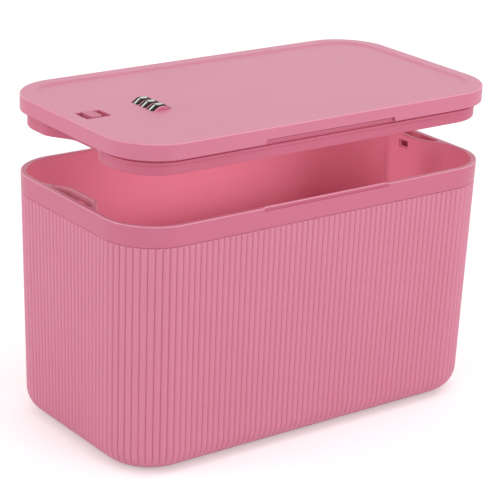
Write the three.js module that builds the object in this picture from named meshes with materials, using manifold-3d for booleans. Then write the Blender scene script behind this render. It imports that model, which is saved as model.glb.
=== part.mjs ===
// Medication lock box: a ribbed plastic bin and a lift-off lid that carries a three-dial lock.
// Lengths are in millimetres. The origin is the middle of the base, +X runs along the box away
// from the lock, the long front faces -Y and +Z is up. The lid is modelled lifted off the bin.

import * as THREE from 'three';
import { mergeGeometries, mergeVertices } from 'three/addons/utils/BufferGeometryUtils.js';
import Module from 'manifold-3d';

const wasm = await Module();
wasm.setup();

// Clearances and cutting allowances
const gap = 0.3;
const lipClearance = 0.7;
const overrun = 2;

// Bin
const binLength = 380;
const binWidth = 209.5;
const binHeight = 218.8;
const cornerRadius = 46.2;
const binLean = 3.8;
const rimWidth = 5;
const rimRound = 1.2;
const wallAtBase = 3.2;
const baseRound = 20;
const floorThickness = 3;
const floorRound = 16;
const footHeight = 1.5;
const footWidth = 5;
const footInset = 2;

// Ribs around the bin, below a smooth band
const bandHeight = 17.9;
const ribPitch = 5.6;
const ribDepth = 1.1;
const grooveWidthShares = [0.33, 0];
const grooveDepthShares = [0, 1];

// Catch pocket in each short end: the inner wall bulges into the bin and leaves a slot behind it
const bulgeDepth = 14.5;
const bulgeFlat = 34;
const bulgeRun = 23;
const bulgeWall = 2.5;
const bulgeDrop = 48;
const bulgeRunOut = 18;
const pocketDepth = 42;
const windowWidth = 12;
const windowHeight = 6.6;
const windowBelowRim = 5.8;

// Finger notch in the front edge of the rim, and the one above it in the lid
const notchLength = 134;
const rimNotchHeight = 3;
const rimNotchDepth = 2.4;
const skirtNotchHeight = 3.4;

// Lid, measured up from the plane where its skirt meets the rim
const lidLift = 54;
const lidOverhang = 0.5;
const skirtHeight = 13.7;
const skirtWall = 2.6;
const lidEdgeRound = 1.4;
const borderWidth = 11;
const panelRecess = 1.6;
const panelSlope = 2.5;
const panelThickness = 2.6;
const flangeThickness = 2.4;
const lipDepth = 14;
const lipWall = 2.2;
const lipEdgeRound = 1;
const lipGrooveHeight = 5.3;
const lipGrooveDepth = 0.6;
const trayFloor = 2.2;

// Screws that hold the inner tray to the top shell
const bossRadius = 3.4;
const pilotRadius = 1.5;
const screwRadius = 1.2;
const screwHoleRadius = 1.7;
const screwHeadRadius = 2.6;
const screwHeadHeight = 1.1;
const screwTipGap = 1;
const screwBite = 9;
const lidScrewReach = 60;
const lidScrewFromSide = 20.75;
const cornerScrewFromEnd = 30;
const cornerScrewFromSide = 42.75;

// Number dials on one axle, each with a code disc beside it
const dialCount = 3;
const dialFacets = 10;
const dialRadius = 12;
const dialWidth = 8.2;
const dialChamfer = 0.8;
const dialPitch = 11.1;
const dialProud = 4.4;
const dialRowFromEnd = 82.5;
const dialSlotGap = 0.5;
const axleRadius = 1.6;
const axleBoreRadius = 2.05;
const discRadius = 4.6;
const gateDepth = 0.9;

// Fence that the code discs stop, and the thumb slider's stroke that follows from it
const fenceThickness = 1.6;
const fenceToothWidth = 1.7;
const fenceFootLength = 13;
const fenceFootThickness = 0.8;
const rivetRadius = 1.1;
const rivetHeadRadius = 1.9;
const rivetHeadHeight = 0.5;
const rivetInset = 3;

// Thumb slider
const tabLength = 9.6;
const tabWidth = 16;
const tabProud = 0.9;
const tabFromEnd = 25.5;
const tabRidges = 3;
const tabRidgeDepth = 0.7;
const windowEndGap = 0.9;
const sliderWindowWidth = 19;
const thumbDepth = 4.5;
const shoeThickness = 2;
const shoeOverlap = 1.6;
const collarWall = 1.8;
const railWall = 1.6;
const stemLength = 8;
const stemWidth = 8;
const stemLipGap = 2;
const sliderPinRadius = 1.5;
const sliderPinDepth = 6;

// Bolts: flat bars with a thick tongue at the outer end and a rack at the inner end
const tongueWidth = 9;
const tongueHeight = 4.6;
const tongueLength = 20;
const tongueFreeLength = 10;
const tongueBelowRim = 6.5;
const tongueSetback = 0.5;
const barWidth = 14;
const barThickness = 2;
const rackBack = 5;
const rackStart = 20;
const rackTeeth = 6;
const rackLead = 1;
const portGap = 0.6;

// Pinion that drives the two racks apart
const gearModule = 1.5;
const pinionTeeth = 12;
const pressureAngle = THREE.MathUtils.degToRad(20);
const rackAddendumShare = 0.7;
const rackDedendumShare = 1;
const pinionAddendumShare = 0.72;
const pinionDedendumShare = 0.9;
const backlash = 0.3;
const pinionHubRadius = 4.5;
const pinionHubRise = 0.6;
const pinionPinRadius = 1.7;
const pinionPinHeadRadius = 4;
const pinionPinHeadHeight = 1;
const pinionPinSeat = 1.2;

// Keepers that hold the bars down on the tray
const keeperLength = 8;
const keeperThickness = 1.2;
const keeperLegWidth = 2;
const keeperEarWidth = 6;
const keeperRunOut = 1.5;
const padHeight = 1.5;
const barRibLength = 4;

// Lock frame, its cheeks, the axle clips and the dials' detent spring
const framePlateLength = 42;
const frameThickness = 1.8;
const frameCheekLength = 12;
const cheekGap = 0.6;
const framePlateZ = -1;
const frameEarWidth = 8;
const frameScrewInset = 4;
const clipRadius = 3.1;
const clipThickness = 0.7;
const axleEnd = 0.8;
const springThickness = 0.5;
const springLeafWidth = 4;
const springFootLength = 5.6;

// Fineness of curves, as counts
const cornerSteps = 8;
const bulgeSteps = 5;
const baseSteps = 4;
const floorSteps = 3;
const roundSides = 10;
const slotSides = 40;
const flankSteps = 3;

// Places worked out from the sizes above
const halfLength = binLength / 2;
const halfWidth = binWidth / 2;
const quarterTurn = Math.PI / 2;
const rimZ = binHeight;
const bandZ = binHeight - bandHeight;
const panelTop = skirtHeight - panelRecess;
const panelUnder = panelTop - panelThickness;
const lipInset = rimWidth + lipClearance;
const trayFloorTop = trayFloor - lipDepth;
const keeperHeadTop = trayFloorTop + padHeight + keeperThickness + 2 * gap + screwHeadHeight;
const pinUnder = trayFloorTop - pinionPinSeat;
const lidHeadUnder = -lipDepth;
const dialRowX = dialRowFromEnd - halfLength;
const tabCentreX = tabFromEnd - halfLength;
const frameHeadUnder = framePlateZ - gap - screwHeadHeight;

const dialAxisZ = panelTop + dialProud - dialRadius;
const discWidth = dialPitch - dialWidth - 2 * gap;
const flatReach = discRadius - gateDepth;
const fenceReach = flatReach + gap;
const discHalfChord = Math.sqrt(discRadius ** 2 - fenceReach ** 2);
const sliderStroke = 2 * discHalfChord + fenceThickness + 2 * gap;
const fenceX = dialRowX + discHalfChord + gap;

const sliderWindowLength = tabLength + 2 * (sliderStroke + windowEndGap);
const windowLowX = tabCentreX - sliderWindowLength / 2;
const windowHighX = tabCentreX + sliderWindowLength / 2;
const shoeTop = panelTop - thumbDepth - gap;
const shoeUnder = shoeTop - shoeThickness;
const shoeWidth = sliderWindowWidth + 2 * shoeOverlap;

const tongueTop = -tongueBelowRim;
const tongueUnder = tongueTop - tongueHeight;
const barUnder = tongueUnder;
const barTop = barUnder + barThickness;
const pinionPinTop = barTop + pinionHubRise + gap + pinionPinHeadHeight;
const lipFaceX = halfLength - lipInset - bulgeDepth;
const tongueTipX = lipFaceX - tongueSetback;
const barTipX = tongueTipX - tongueFreeLength;
const stemX = sliderStroke + stemLength / 2 + stemLipGap + lipWall - lipFaceX;
const keeperOuterX = tongueTipX - tongueLength - keeperRunOut - keeperLength / 2;
const keeperInnerX = rackStart + 2 * rackBack + sliderStroke + keeperRunOut + keeperLength / 2;

const pitchRadius = (gearModule * pinionTeeth) / 2;
const toothPitch = Math.PI * gearModule;
const rackTip = pitchRadius - rackAddendumShare * gearModule;
const rackRoot = pitchRadius + rackDedendumShare * gearModule;
const rackOuter = rackRoot + rackBack;

const frameTop = framePlateZ + frameThickness;
const firstDialY = (-dialPitch * (dialCount - 1)) / 2;
const lowCheekY = firstDialY - dialWidth / 2 - cheekGap;
const highCheekY = -firstDialY + dialWidth / 2 + discWidth + gap + cheekGap;
const frameLowY = lowCheekY - frameThickness - frameEarWidth;
const frameHighY = highCheekY + frameThickness + frameEarWidth;

// Converts a closed geometry to a solid that can be joined and cut.
function solid(geometry) {
  const bare = geometry.clone();
  bare.deleteAttribute('normal');
  bare.deleteAttribute('uv');
  const merged = mergeVertices(bare);
  return new wasm.Manifold(new wasm.Mesh({
    numProp: 3,
    vertProperties: new Float32Array(merged.attributes.position.array),
    triVerts: new Uint32Array(merged.index.array),
  }));
}

// Converts a solid back to a geometry.
function geometryOf(body) {
  const mesh = body.getMesh();
  const geometry = new THREE.BufferGeometry();
  geometry.setAttribute('position', new THREE.BufferAttribute(mesh.vertProperties, mesh.numProp));
  geometry.setIndex(new THREE.BufferAttribute(mesh.triVerts, 1));
  geometry.computeVertexNormals();
  return geometry;
}

// Closed surface through rings of equal count, given from the lowest to the highest.
function loft(rings) {
  const count = rings[0].length;
  const positions = rings.flat(2);
  const index = [];
  rings.slice(1).forEach((unused, level) => {
    for (let i = 0; i < count; i += 1) {
      const a = level * count + i;
      const b = level * count + ((i + 1) % count);
      index.push(a, b, b + count, a, b + count, a + count);
    }
  });
  [rings[0], rings[rings.length - 1]].forEach((ring, end) => {
    const centre = positions.length / 3;
    const first = end * (rings.length - 1) * count;
    const sum = ring.reduce((total, p) => [total[0] + p[0], total[1] + p[1]], [0, 0]);
    positions.push(sum[0] / count, sum[1] / count, ring[0][2]);
    for (let i = 0; i < count; i += 1) {
      const a = first + i;
      const b = first + ((i + 1) % count);
      index.push(centre, end ? a : b, end ? b : a);
    }
  });
  const geometry = new THREE.BufferGeometry();
  geometry.setAttribute('position', new THREE.Float32BufferAttribute(positions, 3));
  geometry.setIndex(index);
  return geometry;
}

// Share of the bulge's depth at a distance from the middle of a short end.
function bulgeShare(y) {
  const run = (Math.abs(y) - bulgeFlat / 2) / bulgeRun;
  return (1 + Math.cos(Math.PI * THREE.MathUtils.clamp(run, 0, 1))) / 2;
}

// Places across a short end where the bulge is drawn: its flat, then its curved runs.
function bulgePlaces() {
  const places = [];
  for (let i = 0; i <= bulgeSteps; i += 1) {
    places.push(bulgeFlat / 2 + (bulgeRun * i) / bulgeSteps);
  }
  return [...places.toReversed().map((y) => -y), ...places];
}

// Outline of the bin at the rim, drawn in by an inset and by the walls' lean.
// Seen from above it runs anticlockwise, and bulge draws in the middle of both short ends.
function ring(inset, z, { lean = 0, bulge = 0, steps = cornerSteps } = {}) {
  const radius = cornerRadius - inset;
  const centreX = halfLength - cornerRadius - lean;
  const centreY = halfWidth - cornerRadius - lean;
  const points = [];
  const corner = (signX, signY, start) => {
    for (let i = 0; i <= steps; i += 1) {
      const angle = start + (quarterTurn * i) / steps;
      points.push([
        signX * centreX + radius * Math.cos(angle),
        signY * centreY + radius * Math.sin(angle),
        z,
      ]);
    }
  };
  const end = (sign) => {
    bulgePlaces().forEach((y) => {
      points.push([sign * (centreX + radius - bulge * bulgeShare(y)), sign * y, z]);
    });
  };
  end(1);
  corner(1, 1, 0);
  corner(-1, 1, quarterTurn);
  end(-1);
  corner(-1, -1, 2 * quarterTurn);
  corner(1, -1, 3 * quarterTurn);
  return points;
}

// How far the bin's walls have leaned in at a height.
function leanAt(z) {
  return binLean * (1 - z / binHeight);
}

// Thickness of the bin's wall at a height, full at the rim.
function wallAt(z) {
  return wallAtBase + (rimWidth - wallAtBase) * (z / binHeight);
}

function box(lowX, highX, lowY, highY, lowZ, highZ) {
  const geometry = new THREE.BoxGeometry(highX - lowX, highY - lowY, highZ - lowZ);
  geometry.translate((lowX + highX) / 2, (lowY + highY) / 2, (lowZ + highZ) / 2);
  return geometry;
}

function post(radius, lowZ, highZ, x = 0, y = 0, sides = roundSides) {
  const geometry = new THREE.CylinderGeometry(radius, radius, highZ - lowZ, sides);
  geometry.rotateX(quarterTurn);
  geometry.translate(x, y, (lowZ + highZ) / 2);
  return geometry;
}

// Upright prism on an outline of [x, y] points.
function prism(outline, lowZ, highZ) {
  const shape = new THREE.Shape(outline.map(([x, y]) => new THREE.Vector2(x, y)));
  const geometry = new THREE.ExtrudeGeometry(shape, { depth: highZ - lowZ, bevelEnabled: false });
  geometry.translate(0, 0, lowZ);
  return geometry;
}

function join(...geometries) {
  return geometries.map(solid).reduce((whole, piece) => whole.add(piece));
}

// Low and high ends of a span that lies to one side of zero, side being -1 or 1.
function span(side, inner, outer) {
  return side < 0 ? [-outer, -inner] : [inner, outer];
}

// Headed pin standing on the origin: a head of a given height, then a shank to a given length.
function headedPin(headRadius, headHeight, shankRadius, length) {
  const head = post(headRadius, 0, headHeight);
  return geometryOf(join(head, post(shankRadius, headHeight / 2, length)));
}

function screw(length) {
  return headedPin(screwHeadRadius, screwHeadHeight, screwRadius, length);
}

// Where ribs meet, as functions of height that give a point and the outward direction.
function ribSeams() {
  const seams = [];
  const count = (length) => Math.round(length / ribPitch);
  const straight = (half, across, turn) => {
    const ribs = count(2 * (half - cornerRadius));
    for (let i = 0; i < ribs; i += 1) {
      const share = (2 * i) / ribs - 1;
      seams.push((z) => ({
        across: across - leanAt(z),
        along: share * (half - cornerRadius - leanAt(z)),
        turn,
        radius: 0,
      }));
    }
  };
  const corner = (half, across, turn) => {
    const ribs = count(quarterTurn * cornerRadius);
    for (let i = 0; i < ribs; i += 1) {
      const angle = (quarterTurn * i) / ribs;
      seams.push((z) => ({
        across: across - cornerRadius - leanAt(z),
        along: half - cornerRadius - leanAt(z),
        turn,
        radius: cornerRadius,
        angle,
      }));
    }
  };
  [0, 1, 2, 3].forEach((side) => {
    const [half, across] = side % 2 ? [halfLength, halfWidth] : [halfWidth, halfLength];
    straight(half, across, side * quarterTurn);
    corner(half, across, side * quarterTurn);
  });
  return seams;
}

// Cutter for the groove between two ribs.
function groove(seam) {
  const widths = grooveWidthShares.map((share) => share * ribPitch);
  const depths = grooveDepthShares.map((share) => share * ribDepth);
  const last = widths.length - 1;
  const section = [
    [-widths[0], overrun],
    ...widths.map((width, i) => [-width, -depths[i]]),
    ...widths.slice(0, last).map((width, i) => [width, -depths[i]]).reverse(),
    [widths[0], overrun],
  ];
  return loft([-overrun, bandZ].map((z) => {
    const { across, along, turn, radius, angle = 0 } = seam(z);
    const facing = turn + angle;
    const outX = Math.cos(facing);
    const outY = Math.sin(facing);
    const x = across * Math.cos(turn) - along * Math.sin(turn) + radius * outX;
    const y = across * Math.sin(turn) + along * Math.cos(turn) + radius * outY;
    return section.map(([side, out]) => [x + side * outY + out * outX, y - side * outX + out * outY, z]);
  }));
}

// Outline of the slot behind a bulge, at the +X end.
function pocketOutline() {
  const outline = bulgePlaces().map((y) => {
    const step = bulgeRun / bulgeSteps;
    const slope = (bulgeDepth * (bulgeShare(y - step) - bulgeShare(y + step))) / (2 * step);
    const length = Math.hypot(1, slope);
    const x = halfLength - rimWidth - bulgeDepth * bulgeShare(y);
    return [x + bulgeWall / length, y - (bulgeWall * slope) / length];
  });
  const open = outline.filter(([x]) => x < halfLength - rimWidth - gap);
  const [, firstY] = open[0];
  const [, lastY] = open[open.length - 1];
  return [...open, [halfLength - rimWidth, lastY], [halfLength - rimWidth, firstY]].reverse();
}

function binTub() {
  const ribsPerCorner = Math.round((quarterTurn * cornerRadius) / ribPitch);
  const outside = [];
  for (let i = 0; i <= baseSteps; i += 1) {
    const angle = quarterTurn * (1 - i / baseSteps);
    const z = footHeight + baseRound * (1 - Math.sin(angle));
    const inset = baseRound * (1 - Math.cos(angle));
    outside.push(ring(inset, z, { lean: leanAt(z), steps: ribsPerCorner }));
  }
  const round = rimRound * (1 - Math.SQRT1_2);
  outside.push(ring(0, rimZ - rimRound, { lean: leanAt(rimZ - rimRound), steps: ribsPerCorner }));
  outside.push(ring(round, rimZ - round, { steps: ribsPerCorner }));
  outside.push(ring(rimRound, rimZ, { steps: ribsPerCorner }));

  const floorTop = footHeight + floorThickness;
  const inside = [];
  for (let i = 0; i <= floorSteps; i += 1) {
    const angle = quarterTurn * (1 - i / floorSteps);
    const z = floorTop + floorRound * (1 - Math.sin(angle));
    const inset = wallAt(z) + floorRound * (1 - Math.cos(angle));
    inside.push(ring(inset, z, { lean: leanAt(z) }));
  }
  const lowZ = rimZ - bulgeDrop - bulgeRunOut;
  const fullZ = rimZ - bulgeDrop;
  inside.push(ring(wallAt(lowZ), lowZ, { lean: leanAt(lowZ) }));
  inside.push(ring(wallAt(fullZ), fullZ, { lean: leanAt(fullZ), bulge: bulgeDepth }));
  inside.push(ring(rimWidth, rimZ - rimRound, { bulge: bulgeDepth }));
  inside.push(ring(rimWidth - round, rimZ - round, { bulge: bulgeDepth }));
  inside.push(ring(rimWidth - rimRound, rimZ, { bulge: bulgeDepth }));
  inside.push(ring(rimWidth - rimRound, rimZ + overrun, { bulge: bulgeDepth }));

  const pocketZ = rimZ - pocketDepth;
  const pocket = pocketOutline();
  const farPocket = pocket.map(([x, y]) => [-x, -y]);
  const bulgeX = halfLength - rimWidth - bulgeDepth;
  const windowTop = rimZ - windowBelowRim;
  const windowLow = windowTop - windowHeight;
  const windowAt = (low, high) => box(low, high, -windowWidth / 2, windowWidth / 2, windowLow, windowTop);
  const windowInner = bulgeX - overrun;
  const windowOuter = bulgeX + bulgeWall + overrun;
  const notchY = -halfWidth + rimNotchDepth;
  const notch = box(
    -notchLength / 2,
    notchLength / 2,
    -halfWidth - overrun,
    notchY,
    rimZ - rimNotchHeight,
    rimZ + overrun,
  );

  const footOuter = baseRound + footInset;
  const footLean = { lean: leanAt(0) };
  const foot = solid(loft([ring(footOuter, 0, footLean), ring(footOuter, footHeight + gap, footLean)]));
  const footHole = solid(loft([
    ring(footOuter + footWidth, -overrun, footLean),
    ring(footOuter + footWidth, footHeight, footLean),
  ]));

  return geometryOf(
    solid(loft(outside))
      .subtract(solid(mergeGeometries(ribSeams().map(groove))))
      .add(foot)
      .subtract(footHole)
      .subtract(solid(loft(inside)))
      .subtract(solid(prism(pocket, pocketZ, rimZ + overrun)))
      .subtract(solid(prism(farPocket, pocketZ, rimZ + overrun)))
      .subtract(solid(windowAt(windowInner, windowOuter)))
      .subtract(solid(windowAt(-windowOuter, -windowInner)))
      .subtract(solid(notch)),
  );
}

// Screw places that join the inner tray to the top shell.
function lidScrewPlaces() {
  const places = [];
  [-1, 1].forEach((side) => {
    [-1, 1].forEach((end) => places.push([end * lidScrewReach, side * (halfWidth - lidScrewFromSide)]));
    [-1, 1].forEach((end) => {
      places.push([end * (halfLength - cornerScrewFromEnd), side * (halfWidth - cornerScrewFromSide)]);
    });
  });
  return places;
}

// Screw places that hold the lock frame under the top shell.
function frameScrewPlaces() {
  const reach = framePlateLength / 2 - frameScrewInset;
  const lowY = frameLowY + frameScrewInset;
  const highY = frameHighY - frameScrewInset;
  return [-reach, reach].flatMap((x) => [lowY, highY].map((y) => [dialRowX + x, y]));
}

function dialPlaces() {
  return Array.from({ length: dialCount }, (unused, i) => firstDialY + i * dialPitch);
}

function lidTopShell() {
  const edge = -lidOverhang;
  const round = lidEdgeRound * (1 - Math.SQRT1_2);
  const outside = loft([
    ring(edge, 0),
    ring(edge, skirtHeight - lidEdgeRound),
    ring(edge + round, skirtHeight - round),
    ring(edge + lidEdgeRound, skirtHeight),
    ring(edge + borderWidth, skirtHeight),
    ring(edge + borderWidth + panelSlope, panelTop),
  ]);
  const inside = loft([
    ring(edge + skirtWall, -overrun),
    ring(edge + skirtWall, panelUnder - panelRecess),
    ring(edge + skirtWall + panelRecess, panelUnder),
  ]);
  let shell = solid(outside).subtract(solid(inside));

  const bossUnder = trayFloorTop + gap;
  const inPanel = panelUnder + panelThickness / 2;
  lidScrewPlaces().forEach(([x, y]) => {
    const bore = post(pilotRadius, bossUnder - overrun, bossUnder + screwBite + overrun, x, y);
    shell = shell.add(solid(post(bossRadius, bossUnder, inPanel, x, y))).subtract(solid(bore));
  });
  frameScrewPlaces().forEach(([x, y]) => {
    const bore = post(pilotRadius, frameTop - overrun, panelUnder, x, y);
    shell = shell.add(solid(post(bossRadius, frameTop + gap, inPanel, x, y))).subtract(solid(bore));
  });

  const collarUnder = panelTop - thumbDepth;
  const collar = box(
    windowLowX - collarWall,
    windowHighX + collarWall,
    -sliderWindowWidth / 2 - collarWall,
    sliderWindowWidth / 2 + collarWall,
    collarUnder,
    inPanel,
  );
  const windowCut = box(
    windowLowX,
    windowHighX,
    -sliderWindowWidth / 2,
    sliderWindowWidth / 2,
    collarUnder - overrun,
    panelTop + overrun,
  );
  shell = shell.add(solid(collar)).subtract(solid(windowCut));
  const railInner = shoeWidth / 2 + gap;
  const railOuter = railInner + railWall;
  const railLow = shoeUnder - gap;
  [-1, 1].forEach((side) => {
    const rail = box(windowLowX, windowHighX, ...span(side, railInner, railOuter), railLow, inPanel);
    const hookSpan = span(side, railInner - railWall, railOuter);
    const hook = box(windowLowX, windowHighX, ...hookSpan, railLow - railWall, railLow);
    shell = shell.add(join(rail, hook));
  });

  const slotRadius = dialRadius + dialSlotGap;
  const slotWidth = dialWidth + 2 * dialSlotGap;
  dialPlaces().forEach((y) => {
    const slot = new THREE.CylinderGeometry(slotRadius, slotRadius, slotWidth, slotSides);
    slot.translate(dialRowX, y, dialAxisZ);
    shell = shell.subtract(solid(slot));
  });

  const notch = box(
    -notchLength / 2,
    notchLength / 2,
    -halfWidth - lidOverhang - overrun,
    -halfWidth - lidOverhang + skirtWall + overrun,
    -overrun,
    skirtNotchHeight,
  );
  return geometryOf(shell.subtract(solid(notch)));
}

// Places of the keepers along the lid: two over each bar.
function keeperPlaces() {
  return [-keeperOuterX, -keeperInnerX, keeperInnerX, keeperOuterX];
}

// How far out from the bar's middle a keeper's screws sit
function keeperScrewY() {
  return barWidth / 2 + 2 * gap + keeperLegWidth + keeperEarWidth / 2;
}

function lidInnerTray() {
  const flange = skirtWall - lidOverhang + gap;
  const lip = { bulge: bulgeDepth };
  const outside = loft([
    ring(lipInset + lipEdgeRound, -lipDepth, lip),
    ring(lipInset, lipEdgeRound - lipDepth, lip),
    ring(lipInset, -lipGrooveHeight - lipGrooveDepth, lip),
    ring(lipInset + lipGrooveDepth, -lipGrooveHeight, lip),
    ring(lipInset + lipGrooveDepth, 0, lip),
    ring(flange, 0),
    ring(flange, flangeThickness),
  ]);
  const inside = loft([
    ring(lipInset + lipWall + lipEdgeRound, trayFloorTop, lip),
    ring(lipInset + lipWall, trayFloorTop + lipEdgeRound, lip),
    ring(lipInset + lipWall, flangeThickness + overrun, lip),
  ]);
  let tray = solid(outside).subtract(solid(inside));

  const portHalf = tongueWidth / 2 + portGap;
  [-1, 1].forEach((side) => {
    const portSpan = span(side, lipFaceX - lipWall - overrun, lipFaceX + overrun);
    const port = box(...portSpan, -portHalf, portHalf, tongueUnder - portGap, tongueTop + portGap);
    tray = tray.subtract(solid(port));
  });

  lidScrewPlaces().forEach(([x, y]) => {
    const hole = post(screwHoleRadius, lidHeadUnder - overrun, trayFloorTop + overrun, x, y);
    const recessTop = lidHeadUnder + screwHeadHeight + gap;
    const recess = post(screwHeadRadius + gap, lidHeadUnder - overrun, recessTop, x, y);
    tray = tray.subtract(solid(hole)).subtract(solid(recess));
  });

  const sunk = trayFloorTop - trayFloor / 2;
  keeperPlaces().forEach((x) => {
    const rib = box(
      x - barRibLength / 2,
      x + barRibLength / 2,
      -barWidth / 2,
      barWidth / 2,
      sunk,
      barUnder - gap,
    );
    tray = tray.add(solid(rib));
    [-1, 1].forEach((side) => {
      const y = side * keeperScrewY();
      const pad = post(keeperEarWidth / 2, sunk, trayFloorTop + padHeight, x, y);
      const pilot = post(pilotRadius, sunk, trayFloorTop + padHeight + overrun, x, y);
      tray = tray.add(solid(pad)).subtract(solid(pilot));
    });
  });

  const seat = post(pinionPinRadius + gap, pinUnder, trayFloorTop + overrun);
  tray = tray.subtract(solid(seat));
  const guideReach = (rackTeeth * toothPitch) / 2;
  [-1, 1].forEach((side) => {
    const guide = span(side, rackOuter + gap, rackOuter + gap + railWall);
    const wall = box(-guideReach, guideReach, ...guide, sunk, barTop);
    const bed = span(side, rackRoot, rackOuter);
    const rest = box(-barRibLength / 2, barRibLength / 2, ...bed, sunk, barUnder - gap);
    tray = tray.add(solid(wall)).add(solid(rest));
  });
  return geometryOf(tray);
}

function thumbSlider() {
  const tabTop = panelTop + tabProud;
  const shoe = box(
    windowLowX - shoeOverlap,
    windowHighX + sliderStroke + shoeOverlap,
    -shoeWidth / 2,
    shoeWidth / 2,
    shoeUnder,
    shoeTop,
  );
  const tab = box(
    tabCentreX - tabLength / 2,
    tabCentreX + tabLength / 2,
    -tabWidth / 2,
    tabWidth / 2,
    shoeUnder,
    tabTop,
  );
  const stem = box(
    stemX - stemLength / 2,
    stemX + stemLength / 2,
    -stemWidth / 2,
    stemWidth / 2,
    tongueTop + gap,
    shoeTop,
  );
  let slider = join(shoe, tab, stem);
  const pitch = tabLength / (tabRidges + 1);
  for (let i = 1; i <= tabRidges; i += 1) {
    const x = tabCentreX - tabLength / 2 + i * pitch;
    const valley = [
      [x - tabRidgeDepth, tabTop],
      [x, tabTop - tabRidgeDepth],
      [x + tabRidgeDepth, tabTop],
      [x + tabRidgeDepth, tabTop + overrun],
      [x - tabRidgeDepth, tabTop + overrun],
    ];
    const cut = prism(valley, -tabWidth / 2 - overrun, tabWidth / 2 + overrun);
    cut.rotateX(quarterTurn);
    slider = slider.subtract(solid(cut));
  }
  const bore = post(sliderPinRadius + gap, tongueTop - overrun, tongueTop + gap + sliderPinDepth, stemX);
  return geometryOf(slider.subtract(solid(bore)));
}

// Pin that ties the slider's stem to the bolt, which is clear of the tab so that it misses the lip.
function sliderPin() {
  return post(sliderPinRadius, tongueUnder, tongueTop + sliderPinDepth, stemX);
}

// Flat bolt for the -X end: tongue, bar, then a rack whose teeth face the pinion from +Y.
function boltBar() {
  const inner = -rackStart;
  const rackEnd = ((rackTeeth + 1) / 2 + rackLead) * toothPitch;
  const flankLean = Math.tan(pressureAngle);
  const half = (toothPitch / 2 - backlash) / 2;
  const tipHalf = half - (pitchRadius - rackTip) * flankLean;
  const rootHalf = half + (rackRoot - pitchRadius) * flankLean;
  const teeth = [];
  for (let i = 0; i < rackTeeth; i += 1) {
    const x = (i - (rackTeeth - 1) / 2 + rackLead) * toothPitch;
    teeth.push([x - rootHalf, rackRoot], [x - tipHalf, rackTip]);
    teeth.push([x + tipHalf, rackTip], [x + rootHalf, rackRoot]);
  }
  const outline = [
    [-barTipX, -barWidth / 2],
    [inner, -barWidth / 2],
    [inner, rackRoot],
    ...teeth,
    [rackEnd, rackRoot],
    [rackEnd, rackOuter],
    [inner - rackBack, rackOuter],
    [inner - 2 * rackBack, barWidth / 2],
    [-barTipX, barWidth / 2],
  ];
  const tongue = box(
    -tongueTipX,
    tongueLength - tongueTipX,
    -tongueWidth / 2,
    tongueWidth / 2,
    tongueUnder,
    tongueTop,
  );
  return join(prism(outline, barUnder, barTop), tongue);
}

// Where the fence's rivets sit on its foot.
function rivetPlaces() {
  const x = fenceX + fenceFootLength - rivetInset;
  return [-1, 1].map((side) => [x, (side * barWidth) / 4]);
}

function leftBolt() {
  const pinHole = post(sliderPinRadius + gap, tongueUnder - overrun, tongueTop + overrun, stemX);
  let bolt = boltBar().subtract(solid(pinHole));
  rivetPlaces().forEach(([x, y]) => {
    bolt = bolt.subtract(solid(post(rivetRadius + gap, barUnder - overrun, barTop + overrun, x, y)));
  });
  return geometryOf(bolt);
}

function rightBolt() {
  const geometry = geometryOf(boltBar());
  geometry.rotateZ(2 * quarterTurn);
  return geometry;
}

// Folded strip: a foot on the bar and three teeth that reach up between the dials.
function fenceComb() {
  const discY = dialPlaces().map((y) => y + dialPitch / 2);
  const lowY = discY[0] - fenceToothWidth / 2;
  const highY = discY[dialCount - 1] + fenceToothWidth / 2;
  const footUnder = barTop + gap;
  const footTop = footUnder + fenceFootThickness;
  const shoulder = dialAxisZ - dialRadius - gap;
  let comb = join(
    box(fenceX, fenceX + fenceFootLength, -barWidth / 2, barWidth / 2, footUnder, footTop),
    box(fenceX, fenceX + fenceThickness, lowY, highY, footUnder, shoulder),
  );
  discY.forEach((y) => {
    const tooth = box(
      fenceX,
      fenceX + fenceThickness,
      y - fenceToothWidth / 2,
      y + fenceToothWidth / 2,
      footUnder,
      dialAxisZ - fenceReach,
    );
    comb = comb.add(solid(tooth));
  });
  rivetPlaces().forEach(([x, y]) => {
    comb = comb.subtract(solid(post(rivetRadius + gap, barTop, shoulder, x, y)));
  });
  return geometryOf(comb);
}

function fenceRivet() {
  const length = barThickness + fenceFootThickness + 2 * gap + rivetHeadHeight;
  return headedPin(rivetHeadRadius, rivetHeadHeight, rivetRadius, length);
}

// Half the angle that a pinion tooth spans at a radius, from its involute flank.
function toothHalfAngle(radius) {
  const involute = (angle) => Math.tan(angle) - angle;
  const baseRadius = pitchRadius * Math.cos(pressureAngle);
  const thickness = toothPitch / 2 - backlash;
  const at = radius > baseRadius ? Math.acos(baseRadius / radius) : 0;
  return thickness / (2 * pitchRadius) + involute(pressureAngle) - involute(at);
}

function pinion() {
  const outerRadius = pitchRadius + pinionAddendumShare * gearModule;
  const rootRadius = pitchRadius - pinionDedendumShare * gearModule;
  const outline = [];
  for (let tooth = 0; tooth < pinionTeeth; tooth += 1) {
    const middle = (4 * quarterTurn * tooth) / pinionTeeth;
    const flank = [];
    for (let i = 0; i <= flankSteps; i += 1) {
      const radius = rootRadius + ((outerRadius - rootRadius) * i) / flankSteps;
      flank.push([radius, toothHalfAngle(radius)]);
    }
    const point = ([radius, angle]) => [
      radius * Math.cos(middle + angle),
      radius * Math.sin(middle + angle),
    ];
    outline.push(...flank.map(([radius, angle]) => point([radius, -angle])));
    outline.push(...flank.toReversed().map(point));
  }
  const hubLow = trayFloorTop + gap;
  const hubHigh = barTop + pinionHubRise;
  const bore = post(pinionPinRadius + gap, hubLow - overrun, hubHigh + overrun);
  return geometryOf(
    join(prism(outline, barUnder, barTop), post(pinionHubRadius, hubLow, hubHigh)).subtract(solid(bore)),
  );
}

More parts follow.
